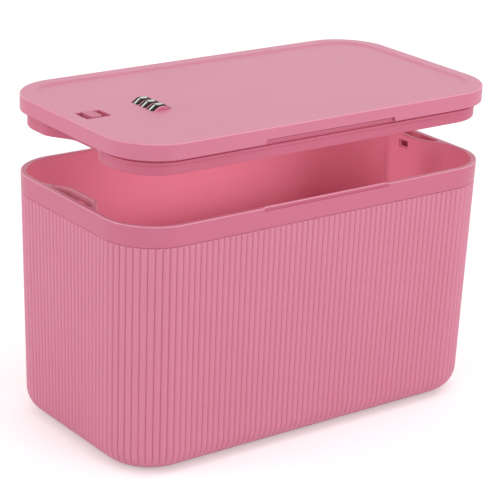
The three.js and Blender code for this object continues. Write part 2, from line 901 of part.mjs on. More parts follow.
function pinionPin() {
  const length = pinionPinTop - pinUnder - gap;
  return headedPin(pinionPinHeadRadius, pinionPinHeadHeight, pinionPinRadius, length);
}

// Bridge over a bar, with an ear and a screw hole on each side.
function keeper() {
  const legInner = barWidth / 2 + 2 * gap;
  const legOuter = legInner + keeperLegWidth;
  const earUnder = trayFloorTop + padHeight + gap;
  const strapUnder = barTop + gap;
  const strapTop = strapUnder + keeperThickness;
  const earTop = earUnder + keeperThickness;
  const reach = keeperLength / 2;
  let bridge = solid(box(-reach, reach, -legOuter, legOuter, strapUnder, strapTop));
  [-1, 1].forEach((side) => {
    const leg = box(-reach, reach, ...span(side, legInner, legOuter), earUnder, strapTop);
    const ear = box(-reach, reach, ...span(side, legInner, legOuter + keeperEarWidth), earUnder, earTop);
    const hole = post(screwHoleRadius, earUnder - overrun, earTop + overrun, 0, side * keeperScrewY());
    bridge = bridge.add(join(leg, ear)).subtract(solid(hole));
  });
  return geometryOf(bridge);
}

function keeperScrew() {
  return screw(keeperHeadTop - trayFloorTop + trayFloor / 2 - gap);
}

function lidScrew() {
  return screw(trayFloor + screwHeadHeight + screwBite);
}

function frameScrew() {
  return screw(panelUnder - screwTipGap - frameHeadUnder);
}

// Ten-sided dial with bevelled rims, its axis along Y and a flat uppermost.
function numberDial() {
  const half = dialWidth / 2;
  const profile = [
    [axleBoreRadius, -half],
    [dialRadius - dialChamfer, -half],
    [dialRadius, dialChamfer - half],
    [dialRadius, half - dialChamfer],
    [dialRadius - dialChamfer, half],
    [axleBoreRadius, half],
    [axleBoreRadius, -half],
  ].map(([radius, y]) => new THREE.Vector2(radius, y));
  const geometry = new THREE.LatheGeometry(profile, dialFacets);
  geometry.rotateY(quarterTurn * 2 / dialFacets);
  return geometry;
}

// Disc that turns with a dial, with the flat that lets the fence past facing down.
function codeDisc() {
  const disc = new THREE.CylinderGeometry(discRadius, discRadius, discWidth, 2 * roundSides);
  const bore = new THREE.CylinderGeometry(axleBoreRadius, axleBoreRadius, discWidth + overrun, roundSides);
  const flat = box(-discRadius, discRadius, -discWidth, discWidth, -discRadius - overrun, -flatReach);
  return geometryOf(solid(disc).subtract(solid(bore)).subtract(solid(flat)));
}

function dialAxle() {
  const low = lowCheekY - frameThickness - clipThickness - gap - axleEnd;
  const high = highCheekY + frameThickness + clipThickness + gap + axleEnd;
  const geometry = new THREE.CylinderGeometry(axleRadius, axleRadius, high - low, roundSides);
  geometry.translate(0, (low + high) / 2, 0);
  return geometry;
}

// Open ring that snaps on the axle outside a cheek, standing on the origin along +Y
function axleClip() {
  const profile = [
    [axleRadius + gap, 0],
    [clipRadius, 0],
    [clipRadius, clipThickness],
    [axleRadius + gap, clipThickness],
    [axleRadius + gap, 0],
  ].map(([radius, y]) => new THREE.Vector2(radius, y));
  const whole = solid(new THREE.LatheGeometry(profile, roundSides));
  const mouth = box(-axleRadius, axleRadius, -overrun, clipThickness + overrun, -clipRadius, 0);
  return geometryOf(whole.subtract(solid(mouth)));
}

function lockFrame() {
  const reach = framePlateLength / 2;
  const windowHalf = dialRadius + dialSlotGap;
  const plate = box(-reach, reach, frameLowY, frameHighY, framePlateZ, frameTop);
  const opening = box(
    -windowHalf,
    windowHalf,
    lowCheekY,
    highCheekY,
    framePlateZ - overrun,
    frameTop + overrun,
  );
  let frame = solid(plate).subtract(solid(opening));
  const cheekTop = panelUnder - gap;
  [lowCheekY - frameThickness, highCheekY].forEach((low) => {
    const cheek = box(
      -frameCheekLength / 2,
      frameCheekLength / 2,
      low,
      low + frameThickness,
      framePlateZ,
      cheekTop,
    );
    frame = frame.add(solid(cheek));
  });
  const bore = new THREE.CylinderGeometry(
    axleBoreRadius,
    axleBoreRadius,
    frameHighY - frameLowY,
    roundSides,
  );
  bore.translate(0, (frameLowY + frameHighY) / 2, dialAxisZ);
  frame = frame.subtract(solid(bore));
  frameScrewPlaces().forEach(([x, y]) => {
    const hole = post(screwHoleRadius, framePlateZ - overrun, frameTop + overrun, x - dialRowX, y);
    frame = frame.subtract(solid(hole));
  });
  return geometryOf(frame);
}

// Strip spring behind the dials, with one leaf that clicks over each dial's flats.
function detentSpring() {
  const leafX = dialRadius + gap;
  const foot = box(
    leafX,
    leafX + springFootLength,
    firstDialY - springLeafWidth / 2,
    springLeafWidth / 2 - firstDialY,
    frameTop + gap,
    frameTop + gap + springThickness,
  );
  const leaves = dialPlaces().map((y) => box(
    leafX,
    leafX + springThickness,
    y - springLeafWidth / 2,
    y + springLeafWidth / 2,
    frameTop + gap,
    dialAxisZ + axleRadius,
  ));
  return geometryOf(join(foot, ...leaves));
}

function finish(color, roughness, metalness = 0) {
  return new THREE.MeshStandardMaterial({ color, roughness, metalness });
}

const pinkPlastic = () => finish('#d9849c', 0.5);
const innerPlastic = () => finish('#d27c94', 0.55);
const blackPlastic = () => finish('#1b1b1d', 0.35);
const acetal = () => finish('#ecebe6', 0.45);
const steel = () => finish('#b9bcc0', 0.35, 1);
const brass = () => finish('#c9a35a', 0.35, 1);

function piece(name, geometry, material) {
  const mesh = new THREE.Mesh(geometry, material);
  mesh.name = name;
  return mesh;
}

// Hangs a mesh on a group, moved to a place and turned about X.
function hang(group, mesh, [x, y, z], turn = 0) {
  mesh.position.set(x, y, z);
  mesh.rotation.x = turn;
  group.add(mesh);
}

const lockBox = new THREE.Group();
lockBox.add(piece('bin_tub', binTub(), pinkPlastic()));

const lid = new THREE.Group();
lid.position.z = binHeight + lidLift;
lockBox.add(lid);
lid.add(piece('lid_top_shell', lidTopShell(), pinkPlastic()));
lid.add(piece('lid_inner_tray', lidInnerTray(), innerPlastic()));
lidScrewPlaces().forEach(([x, y], i) => {
  hang(lid, piece(`lid_screw_${i + 1}`, lidScrew(), steel()), [x, y, lidHeadUnder]);
});
lid.add(piece('thumb_slider', thumbSlider(), pinkPlastic()));
lid.add(piece('slider_pin', sliderPin(), steel()));
lid.add(piece('left_bolt', leftBolt(), steel()));
lid.add(piece('right_bolt', rightBolt(), steel()));
lid.add(piece('fence_comb', fenceComb(), steel()));
rivetPlaces().forEach(([x, y], i) => {
  const headTop = barTop + fenceFootThickness + 2 * gap + rivetHeadHeight;
  hang(lid, piece(`fence_rivet_${i + 1}`, fenceRivet(), brass()), [x, y, headTop], 2 * quarterTurn);
});
lid.add(piece('drive_pinion', pinion(), acetal()));
hang(lid, piece('pinion_pin', pinionPin(), steel()), [0, 0, pinionPinTop], 2 * quarterTurn);
const keeperNames = ['left_outer_keeper', 'left_inner_keeper', 'right_inner_keeper', 'right_outer_keeper'];
keeperPlaces().forEach((x, i) => {
  hang(lid, piece(keeperNames[i], keeper(), innerPlastic()), [x, 0, 0]);
  [-1, 1].forEach((side, j) => {
    const place = [x, side * keeperScrewY(), keeperHeadTop];
    hang(lid, piece(`keeper_screw_${2 * i + j + 1}`, keeperScrew(), steel()), place, 2 * quarterTurn);
  });
});
frameScrewPlaces().forEach(([x, y], i) => {
  hang(lid, piece(`frame_screw_${i + 1}`, frameScrew(), steel()), [x, y, frameHeadUnder]);
});

const lockRow = new THREE.Group();
lockRow.position.x = dialRowX;
lid.add(lockRow);
lockRow.add(piece('lock_frame', lockFrame(), steel()));
lockRow.add(piece('detent_spring', detentSpring(), steel()));

const dialRow = new THREE.Group();
dialRow.position.z = dialAxisZ;
lockRow.add(dialRow);
dialRow.add(piece('dial_axle', dialAxle(), steel()));
const lowClipY = lowCheekY - frameThickness - gap - clipThickness;
const highClipY = highCheekY + frameThickness + gap;
hang(dialRow, piece('axle_clip_1', axleClip(), steel()), [0, lowClipY, 0]);
hang(dialRow, piece('axle_clip_2', axleClip(), steel()), [0, highClipY, 0]);
dialPlaces().forEach((y, i) => {
  hang(dialRow, piece(`number_dial_${i + 1}`, numberDial(), blackPlastic()), [0, y, 0]);
  hang(dialRow, piece(`code_disc_${i + 1}`, codeDisc(), brass()), [0, y + dialPitch / 2, 0]);
});

export default lockBox;
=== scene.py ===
# Medication lock box: the finished look of a ribbed plastic bin with a lift-off dial-lock lid.
# Sizes are in millimetres until a mesh is made. The frame gives every place that it can.

import math
from collections import namedtuple

import bmesh
import bpy
from mathutils import Matrix, Vector


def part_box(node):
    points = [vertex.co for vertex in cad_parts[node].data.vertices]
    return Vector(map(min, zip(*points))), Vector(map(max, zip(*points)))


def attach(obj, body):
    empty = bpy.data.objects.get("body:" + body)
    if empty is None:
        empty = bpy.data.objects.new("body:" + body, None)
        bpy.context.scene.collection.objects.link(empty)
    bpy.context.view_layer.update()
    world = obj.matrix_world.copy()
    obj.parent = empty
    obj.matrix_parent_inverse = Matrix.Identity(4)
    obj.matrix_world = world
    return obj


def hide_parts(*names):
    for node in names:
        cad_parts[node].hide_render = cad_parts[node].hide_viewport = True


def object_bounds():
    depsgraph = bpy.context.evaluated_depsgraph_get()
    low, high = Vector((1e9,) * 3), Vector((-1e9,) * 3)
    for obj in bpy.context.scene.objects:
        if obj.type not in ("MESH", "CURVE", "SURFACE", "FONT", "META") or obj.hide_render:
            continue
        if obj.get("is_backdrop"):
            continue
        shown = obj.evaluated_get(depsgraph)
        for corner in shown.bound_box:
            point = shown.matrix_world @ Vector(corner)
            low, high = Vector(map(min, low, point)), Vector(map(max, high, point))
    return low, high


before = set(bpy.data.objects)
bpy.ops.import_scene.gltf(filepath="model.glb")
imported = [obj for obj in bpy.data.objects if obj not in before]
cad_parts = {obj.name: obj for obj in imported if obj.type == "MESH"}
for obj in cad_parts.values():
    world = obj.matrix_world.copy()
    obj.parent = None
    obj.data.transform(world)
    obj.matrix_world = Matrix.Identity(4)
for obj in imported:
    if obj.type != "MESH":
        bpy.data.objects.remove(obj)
cad_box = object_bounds()

MM = 0.001
WELD_DISTANCE = 0.001 * MM


def box_mm(node):
    """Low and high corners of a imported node, in millimetres."""
    low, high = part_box(node)
    return Vector(low) / MM, Vector(high) / MM


# Bin, from the frame and from the sizes that shape its walls
BIN_HIGH = box_mm("bin_tub")[1]
HALF_LENGTH = BIN_HIGH.x
HALF_WIDTH = BIN_HIGH.y
BIN_HEIGHT = BIN_HIGH.z
CORNER_RADIUS = 46.2
BIN_LEAN = 3.8
RIM_WIDTH = 5
RIM_ROUND = 1.2
WALL_AT_BASE = 3.2
BASE_ROUND = 20
FLOOR_THICKNESS = 3
FLOOR_ROUND = 16
FOOT_HEIGHT = 1.5
FOOT_WIDTH = 5
FOOT_INSET = 2
FOOT_EDGE = 0.4

# Ribs below the smooth band, about 5.6 mm apart on the sides
BAND_HEIGHT = 17.9
RIBS_ON_END = 21
RIBS_ON_SIDE = 51
RIBS_ON_CORNER = 12
RIB_DEPTH = 1.4
RIB_STEPS = 6
RIB_END_LOW = 7.5
RIB_END_HIGH = 12.5
RIB_TOP_SET_BACK = 0.3
RIB_TOP_RUN = 2.4
SHADOW_LINE = 0.6
BAND_EDGE = 0.5

# Inward bulge of each short end, with the catch pocket behind it and the bolt's window through it
BULGE_DEPTH = 14.5
BULGE_FLAT = 28
BULGE_RUN = 32
BULGE_WALL = 3.6
BULGE_DROP = 48
BULGE_RUN_OUT = 18
POCKET_DEPTH = 42
POCKET_LEAST_DEPTH = 3
POCKET_EDGE_ROUND = 0.8
WINDOW_WIDTH = 12
WINDOW_HEIGHT = 6.6
WINDOW_BELOW_RIM = 5.8

# Finger notches in the front edges of the rim and of the lid
NOTCH_LENGTH = 134
NOTCH_RUN = 5
RIM_NOTCH_HEIGHT = 3
RIM_NOTCH_DEPTH = 2.4
SKIRT_NOTCH_HEIGHT = 3.8
SKIRT_NOTCH_CORNER = 1.4

# Soft ledge at the foot of the rim's notch, as heights about it and shares of the notch's depth
NOTCH_LEDGE_SHARES = [(-0.3, 0), (-0.08, 0.06), (0, 0.2), (0, 0.8), (0.08, 0.94), (0.3, 1)]

# Lid, measured up from the plane where its skirt meets the rim
LID_TOP_HIGH = box_mm("lid_top_shell")[1]
SKIRT_HEIGHT = 13.7
LID_Z = LID_TOP_HIGH.z - SKIRT_HEIGHT
LID_EDGE = HALF_LENGTH - LID_TOP_HIGH.x
SKIRT_WALL = 2.6
SKIRT_FOOT_ROUND = 0.4
LID_EDGE_ROUND = 1.4
BORDER_WIDTH = 11
PANEL_RECESS = 1.6
PANEL_SLOPE = 5
PANEL_THICKNESS = 2.6
PANEL_TOP = SKIRT_HEIGHT - PANEL_RECESS
PANEL_Z = LID_Z + PANEL_TOP
PANEL_UNDER = PANEL_TOP - PANEL_THICKNESS
FLANGE_INSET = 2.4
FLANGE_THICKNESS = 2.4
LIP_DEPTH = 14
LIP_INSET = 5.8
LIP_WALL = 2.2
LIP_EDGE_ROUND = 1
LIP_NECK_HEIGHT = 3.2
LIP_NECK_INSET = 6.7
LIP_STEP_HEIGHT = 6.2
LIP_STEP = 0.4
LIP_LINE = 0.5
TRAY_FLOOR = 2.2
TRAY_FLOOR_TOP = TRAY_FLOOR - LIP_DEPTH

# Screws, ports and the pinion pin's seat
SCREW_HEAD_HEIGHT = 1.1
SCREW_RADIUS = 1.2
SCREW_HOLE_RADIUS = 1.7
SCREW_TIP = 1
SCREW_TURN = 2.4
HEAD_ROUND = 0.5
HEAD_CROWN = 0.8
THREAD_PITCH = 1
THREAD_DEPTH = 0.25
THREAD_STEPS = 4
RECESS_DEPTH = 0.7
RECESS_ARM = 1.5
RECESS_HALF_WIDTH = 0.36
RECESS_FLOOR_ARM = 0.9
RECESS_FLOOR_HALF_WIDTH = 0.2
HOLE_FLARE = 0.3
TONGUE_WIDTH = 9
TONGUE_HEIGHT = 4.6
PORT_GAP = 0.6
PIN_SEAT_RADIUS = 2

# Dials, placed by the frame, with their slots and the arched fins beside them
DIAL_NODES = ["number_dial_1", "number_dial_2", "number_dial_3"]
DIAL_LOW, DIAL_HIGH = box_mm(DIAL_NODES[0])
DIAL_HALF_WIDTH = (DIAL_HIGH.y - DIAL_LOW.y) / 2
DIAL_CENTRES = [(low + high) / 2 for low, high in map(box_mm, DIAL_NODES)]
DIAL_FACETS = 10
DIAL_RADIUS = 11.9
DIAL_BORE_RADIUS = 2.05
DIAL_BEVEL = 0.8
DIAL_CORNER_ROUND = 0.5
DIGIT_HEIGHT = 6.6
DIGIT_BOLD = 0.07
DIGIT_RELIEF = 0.08
SLOT_GAP = 0.5
SLOT_EDGE_ROUND = 0.5
SLOT_CORNER = 0.5
FIN_BELOW_DIAL = 1.1
FIN_EDGE = 0.5
FIN_SUNK = 1

# Thumb slider and its window
SLIDER_LOW, SLIDER_HIGH = box_mm("thumb_slider")
SLIDER_STROKE = 6.743
TAB_LENGTH = 9.6
TAB_WIDTH = 16
TAB_CORNER = 1.6
TAB_EDGE = 0.8
TAB_GROOVES = 3
TAB_GROOVE_HALF = 0.7
TAB_FROM_END = 25.5
TAB_X = TAB_FROM_END - HALF_LENGTH
WINDOW_END_GAP = 0.9
SLIDER_WINDOW_LENGTH = TAB_LENGTH + 2 * (SLIDER_STROKE + WINDOW_END_GAP)
SLIDER_WINDOW_WIDTH = 19
SLIDER_WINDOW_CORNER = 1.5
SLIDER_WINDOW_ROUND = 0.6
THUMB_DEPTH = 4.5
SHOE_THICKNESS = 2
SHOE_CORNER = 1
SHOE_EDGE = 0.3
STEM_HALF = 4
PIN_BORE_RADIUS = 1.8
PIN_BORE_DEPTH = 6

# Small gaps and cutting allowances
GAP = 0.3
OVERRUN = 2
DETAIL_INSET = 1

# Flared mouths of the bolts' windows and ports, as depth below the face and widening
OPENING_CORNER = 1
WINDOW_MOUTH = [(-OVERRUN, 0.6), (0, 0.4), (0.4, 0)]
PORT_MOUTH = [(-OVERRUN, 0.5), (0, 0.4), (0.4, 0)]

# Upright part of a face's normal where the face counts as rounded or as a top
ROUND_STEEPEST = 0.2
RIM_FLATTEST = 0.97
LID_FLATTEST = 0.9
TOP_STEEPEST = 0.5

# Stations on a short end, a long side and a corner of each smooth skin
INSIDE_STATIONS = (96, 24, 16)
LID_STATIONS = (40, 100, 24)
TRAY_STATIONS = (96, 40, 24)

# Quarter of a turn, and how nearly a station has to face an axis to be on a side
QUARTER_TURN = math.pi / 2
SQUARE_ON = 1 - 1e-6

# Factor that a wave texture puts on its place, taken out of its scale
WAVE_FACTOR = 20

# Light from all round, the floor's own glow, and half the floor's length in metres
ROOM_LIGHT = 0.74
FLOOR_GLOW = 0.3
FLOOR_REACH = 20

# Lamps as name, azimuth, elevation, distance in metres, size in metres and power in watts
LAMPS = [
    ("left_lamp", -108, 14, 2.2, 1.1, 10),
    ("right_lamp", 14, 13, 2.3, 1.2, 11.5),
    ("top_lamp", 0, 80, 2.5, 1.2, 5),
    ("edge_lamp", 66, 50, 2.2, 0.8, 3),
]

# Lamp in the bin that shines upwards, as height, length and width in millimetres and power in watts
GLOW_LAMP = (120, 230, 80, 0.25)

# Camera as fitted to the outline of the bin and the lid, with its far limit in metres
CAMERA_AZIMUTH = -37.001
CAMERA_ELEVATION = 19.931
CAMERA_ROLL = 2.179
CAMERA_DISTANCE = 1746
CAMERA_TARGET = (-0.09, 0, 138.04)
CAMERA_FAR = 100
SENSOR_WIDTH = 36
FRAME_PIXELS = 500
FOCAL_PIXELS = 1989.5

Station = namedtuple("Station", "side_x side_y facing groove")


def smooth(value, low, high):
    """Share from 0 to 1 that eases in and out as a value goes from low to high."""
    share = min(max((value - low) / (high - low), 0), 1)
    return share * share * (3 - 2 * share)


def lean_at(z):
    """How far the bin's walls have leaned in at a height."""
    return BIN_LEAN * (1 - z / BIN_HEIGHT)


def wall_at(z):
    """Thickness of the bin's wall at a height."""
    return WALL_AT_BASE + (RIM_WIDTH - WALL_AT_BASE) * z / BIN_HEIGHT


def bulge_share(y):
    """Share of the bulge's depth at a distance from the middle of a short end."""
    run = (abs(y) - BULGE_FLAT / 2) / BULGE_RUN
    return (1 + math.cos(math.pi * min(max(run, 0), 1))) / 2


def notch_share(x):
    """Share of the finger notch's depth at a distance from the middle of the front."""
    return 1 - smooth(abs(x), NOTCH_LENGTH / 2 - NOTCH_RUN, NOTCH_LENGTH / 2)


def outline(end_count, long_count, corner_count, steps=1):
    """Stations round the box, anticlockwise from above, from the -Y end of its +X side.

    Each count is of ribs, and steps says how many stations draw one rib's rounded crown."""
    stations = []
    for side in range(4):
        facing = side * QUARTER_TURN
        out = (math.cos(facing), math.sin(facing))
        along = (-out[1], out[0])
        count = long_count if side % 2 else end_count
        for i in range(count * steps):
            rib, groove = rib_place(i, steps)
            share = 2 * rib / count - 1
            stations.append(Station(out[0] + share * along[0], out[1] + share * along[1], facing, groove))
        for i in range(corner_count * steps):
            rib, groove = rib_place(i, steps)
            turn = QUARTER_TURN * rib / corner_count
            stations.append(Station(out[0] + along[0], out[1] + along[1], facing + turn, groove))
    return stations


def rib_place(i, steps):
    """Place along a row of ribs, in ribs, and how deep the groove is there, from 0 to 1."""
    angle = math.pi * (i % steps) / steps - QUARTER_TURN
    return i // steps + (1 + math.sin(angle)) / 2, 1 - math.cos(angle)


def ring(stations, inset, z, lean=0.0, bulge=0.0, groove=0.0, notch=0.0):
    """One row round the box: drawn in by inset and lean, with the bulge, the ribs' grooves and a notch."""
    centre_x = HALF_LENGTH - CORNER_RADIUS - lean
    centre_y = HALF_WIDTH - CORNER_RADIUS - lean
    row = []
    for station in stations:
        out_x, out_y = math.cos(station.facing), math.sin(station.facing)
        radius = CORNER_RADIUS - inset - groove * station.groove
        x = station.side_x * centre_x + radius * out_x
        y = station.side_y * centre_y + radius * out_y
        if abs(out_x) > SQUARE_ON:
            x -= math.copysign(bulge * bulge_share(y), out_x)
        if out_y < -SQUARE_ON:
            y += notch * notch_share(x)
        row.append((x, y, z))
    return row


def rounding(steps=3):
    """Shares of a radius along a rounded edge, from upright to flat: how far in, and how far down."""
    turns = [QUARTER_TURN * i / steps for i in range(steps + 1)]
    return [(1 - math.cos(a), 1 - math.sin(a)) for a in turns]


def rounded(points, radius, steps=4):
    """Outline with each corner replaced by an arc."""
    made = []
    count = len(points)
    for i, point in enumerate(points):
        here = Vector(point)
        before = (Vector(points[i - 1]) - here).normalized()
        after = (Vector(points[(i + 1) % count]) - here).normalized()
        half = before.angle(after) / 2
        centre = here + (before + after).normalized() * (radius / math.sin(half))
        start = here + before * (radius / math.tan(half)) - centre
        end = here + after * (radius / math.tan(half)) - centre
        for step in range(steps + 1):
            share = step / steps
            spoke = (start * (1 - share) + end * share).normalized() * radius
            made.append(tuple(centre + spoke))
    return made


def rectangle(half_x, half_y, corner, centre=(0, 0)):
    """Rounded rectangle about a centre."""
    x, y = centre
    corners = [
        (x - half_x, y - half_y),
        (x + half_x, y - half_y),
        (x + half_x, y + half_y),
        (x - half_x, y + half_y),
    ]
    return rounded(corners, corner)


def level(points, z):
    """Row of a flat outline at a height."""
    return [(x, y, z) for x, y in points]


def circle(radius, z, centre=(0, 0), sides=32):
    """Row of a circle at a height."""
    turns = [2 * math.pi * i / sides for i in range(sides)]
    return [(centre[0] + radius * math.cos(a), centre[1] + radius * math.sin(a), z) for a in turns]


def skin(lofts, name, closed=False):
    """Object made of separate closed skins, each through its own rows.

    A skin is capped at both ends, or joined end to end where closed is true."""
    shape = bmesh.new()
    for rows in lofts:
        verts = [[shape.verts.new(Vector(point) * MM) for point in row] for row in rows]
        pairs = list(zip(verts, verts[1:]))
        if closed:
            pairs.append((verts[-1], verts[0]))
        else:
            shape.faces.new(verts[0])
            shape.faces.new(verts[-1])
        for low, high in pairs:
            for i in range(len(low)):
                j = (i + 1) % len(low)
                shape.faces.new((low[i], low[j], high[j], high[i]))
    bmesh.ops.recalc_face_normals(shape, faces=shape.faces)
    return placed(shape, name)


def linked(name, data):
    """Adds an object to the scene."""
    made = bpy.data.objects.new(name, data)
    bpy.context.scene.collection.objects.link(made)
    return made


def placed(shape, name):
    """Turns a bmesh into a scene object at the origin."""
    mesh = bpy.data.meshes.new(name)
    shape.to_mesh(mesh)
    shape.free()
    return linked(name, mesh)


def combine(piece, *steps):
    """Cuts or joins tool objects into a piece, in order, and uses them up."""
    for operation, tool in steps:
        step = piece.modifiers.new(operation.lower(), "BOOLEAN")
        step.operation = operation
        step.solver = "MANIFOLD"
        step.object = tool
    settle(piece)
    for _, tool in steps:
        bpy.data.objects.remove(tool)


def settled_mesh(piece):
    """New mesh of an object as its modifiers shape it."""
    graph = bpy.context.evaluated_depsgraph_get()
    graph.update()
    return bpy.data.meshes.new_from_object(piece.evaluated_get(graph))


def settle(piece):
    """Applies a piece's modifiers to its mesh."""
    mesh = settled_mesh(piece)
    mesh.materials.clear()
    piece.modifiers.clear()
    piece.data = mesh


def shade(piece, sharp_degrees=40):
    """Smooth shading that keeps edges above an angle sharp, with flat faces kept flat."""
    piece.data.shade_smooth()
    piece.data.set_sharp_from_angle(angle=math.radians(sharp_degrees))
    weights = piece.modifiers.new("flat_faces", "WEIGHTED_NORMAL")
    weights.keep_sharp = True


def soften(piece, width, sharp_degrees=30):
    """Rounds a hard-edged piece's corners a little."""
    bevel = piece.modifiers.new("soft_edges", "BEVEL")
    bevel.width = width * MM
    bevel.segments = 2
    bevel.limit_method = "ANGLE"
    bevel.angle_limit = math.radians(sharp_degrees)


def finish(piece, body, materials, replaced):
    """Gives a new piece its materials and body, and hides the node it stands for."""
    for material in materials:
        piece.data.materials.append(material)
    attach(piece, body)
    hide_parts(replaced)


def faces_inward(face):
    """Whether a face of the bin looks towards its middle line or up from its floor."""
    across = face.normal.x * face.center.x + face.normal.y * face.center.y
    return across < 0 or (face.normal.z > TOP_STEEPEST and face.center.z < BIN_HEIGHT / 2 * MM)


def in_pocket(face):
    """Whether a face of the bin lies in one of the catch pockets behind the bulges."""
    place = face.center / MM
    in_slot = abs(place.y) < BULGE_FLAT / 2 + BULGE_RUN and place.z > BIN_HEIGHT - POCKET_DEPTH - OVERRUN
    back = HALF_LENGTH - RIM_WIDTH - BULGE_DEPTH * bulge_share(place.y) + BULGE_WALL / 2
    return in_slot and back < abs(place.x) < HALF_LENGTH - RIM_WIDTH / 2


def on_round_edge(face, flattest):
    """Whether a face lies on a rounding between an upright side and a flat top."""
    return ROUND_STEEPEST < face.normal.z < flattest


def choose_finish(piece, choice):
    """Gives each face the number of the material that a choice function picks for it."""
    for face in piece.data.polygons:
        face.material_index = choice(face)


def linear(code):
    """Linear colour of an sRGB hex code."""
    channels = [int(code[i:i + 2], 16) / 255 for i in (1, 3, 5)]
    return tuple(c / 12.92 if c <= 0.04045 else ((c + 0.055) / 1.055) ** 2.4 for c in channels) + (1,)


def node(tree, kind, inputs=None, **settings):
    """Adds a shader node with its settings, and fills its inputs from values, sockets or other nodes.

    A link from a node takes its first output."""
    made = tree.nodes.new("ShaderNode" + kind)
    for name, value in settings.items():
        setattr(made, name, value)
    for name, value in (inputs or {}).items():
        if isinstance(value, bpy.types.Node):
            value = value.outputs[0]
        if isinstance(value, bpy.types.NodeSocket):
            tree.links.new(value, made.inputs[name])
        else:
            made.inputs[name].default_value = value
    return made


def new_material(name):
    """Empty node material, its tree, and the place on the object that its patterns follow."""
    material = bpy.data.materials.new(name)
    material.use_nodes = True
    tree = material.node_tree
    tree.nodes.clear()
    return material, tree, node(tree, "TexCoord").outputs["Object"]


def per_mm(size):
    """Pattern scale that repeats about once in a size in millimetres."""
    return 1 / (size * MM)


def moulded_polypropylene(name, colour, flow_colour, roughness, grain_height):
    """Injection-moulded polypropylene: satin grain from the mould, and faint cloudy flow marks.

    The grain breaks up the gloss, and light that enters the thin walls comes out warmer at the edges."""
    material, tree, place = new_material(name)
    flow = node(tree, "TexNoise", {"Vector": place, "Scale": per_mm(70), "Detail": 2.0})
    tint = node(tree, "Mix", {0: flow, 6: linear(colour), 7: linear(flow_colour)}, data_type="RGBA")
    # The real grain is about 0.1 mm, drawn coarser so that it shows.
    grain = node(tree, "TexNoise", {"Vector": place, "Scale": per_mm(0.7), "Detail": 3.0})
    ends = {"From Min": 0.3, "From Max": 0.7, "To Min": roughness - 0.05, "To Max": roughness + 0.05}
    gloss = node(tree, "MapRange", {"Value": grain, **ends})
    bump = node(tree, "Bump", {"Height": grain, "Strength": grain_height, "Distance": 0.05 * MM})
    shader = node(tree, "BsdfPrincipled", {
        "Base Color": tint.outputs[2],
        "Roughness": gloss,
        "Normal": bump,
        "IOR": 1.49,
        "Specular IOR Level": 0.4,
        "Subsurface Weight": 0.1,
        "Subsurface Scale": 1.5 * MM,
        "Subsurface Radius": (1.0, 0.35, 0.4),
    })
    node(tree, "OutputMaterial", {"Surface": shader})
    return material


def glossy_abs(name, colour):
    """Polished injection-moulded ABS: a slight orange peel bends its highlights and rub marks blur them."""
    material, tree, place = new_material(name)
    peel = node(tree, "TexNoise", {"Vector": place, "Scale": per_mm(2.2), "Detail": 1.0})
    rubs = node(tree, "TexNoise", {"Vector": place, "Scale": per_mm(0.5), "Detail": 4.0})
    ends = {"From Min": 0.3, "From Max": 0.75, "To Min": 0.26, "To Max": 0.4}
    gloss = node(tree, "MapRange", {"Value": rubs, **ends})
    bump = node(tree, "Bump", {"Height": peel, "Strength": 0.15, "Distance": 0.05 * MM})
    shader = node(tree, "BsdfPrincipled", {
        "Base Color": linear(colour),
        "Roughness": gloss,
        "Normal": bump,
        "IOR": 1.5,
        "Specular IOR Level": 0.25,
    })
    node(tree, "OutputMaterial", {"Surface": shader})
    return material


def filled_paint(name, colour):
    """White enamel rolled onto raised digits: opaque, with faint thin patches and a soft gloss."""
    material, tree, place = new_material(name)
    patch = node(tree, "TexNoise", {"Vector": place, "Scale": per_mm(1.2), "Detail": 3.0})
    thin = node(tree, "Mix", {0: patch, 6: linear(colour), 7: linear("#dcdad4")}, data_type="RGBA")
    bump = node(tree, "Bump", {"Height": patch, "Strength": 0.2, "Distance": 0.03 * MM})
    shader = node(tree, "BsdfPrincipled", {
        "Base Color": thin.outputs[2],
        "Roughness": 0.4,
        "Normal": bump,
    })
    node(tree, "OutputMaterial", {"Surface": shader})
    return material


def machined_acetal(name, colour):
    """Hobbed acetal: waxy white with light seen a little way into it, and faint cutter lines."""
    material, tree, place = new_material(name)
    lines = node(tree, "TexWave", {
        "Vector": place,
        "Scale": per_mm(0.8) / WAVE_FACTOR,
        "Distortion": 1.5,
        "Detail": 2.0,
    }, bands_direction="Z").outputs["Fac"]
    bump = node(tree, "Bump", {"Height": lines, "Strength": 0.15, "Distance": 0.02 * MM})
    cloud = node(tree, "TexNoise", {"Vector": place, "Scale": per_mm(6), "Detail": 2.0})
    tint = node(tree, "Mix", {0: cloud, 6: linear(colour), 7: linear("#e2e0d8")}, data_type="RGBA")
    shader = node(tree, "BsdfPrincipled", {
        "Base Color": tint.outputs[2],
        "Roughness": 0.42,
        "Normal": bump,
        "IOR": 1.48,
        "Subsurface Weight": 0.15,
        "Subsurface Scale": 1.5 * MM,
    })
    node(tree, "OutputMaterial", {"Surface": shader})
    return material


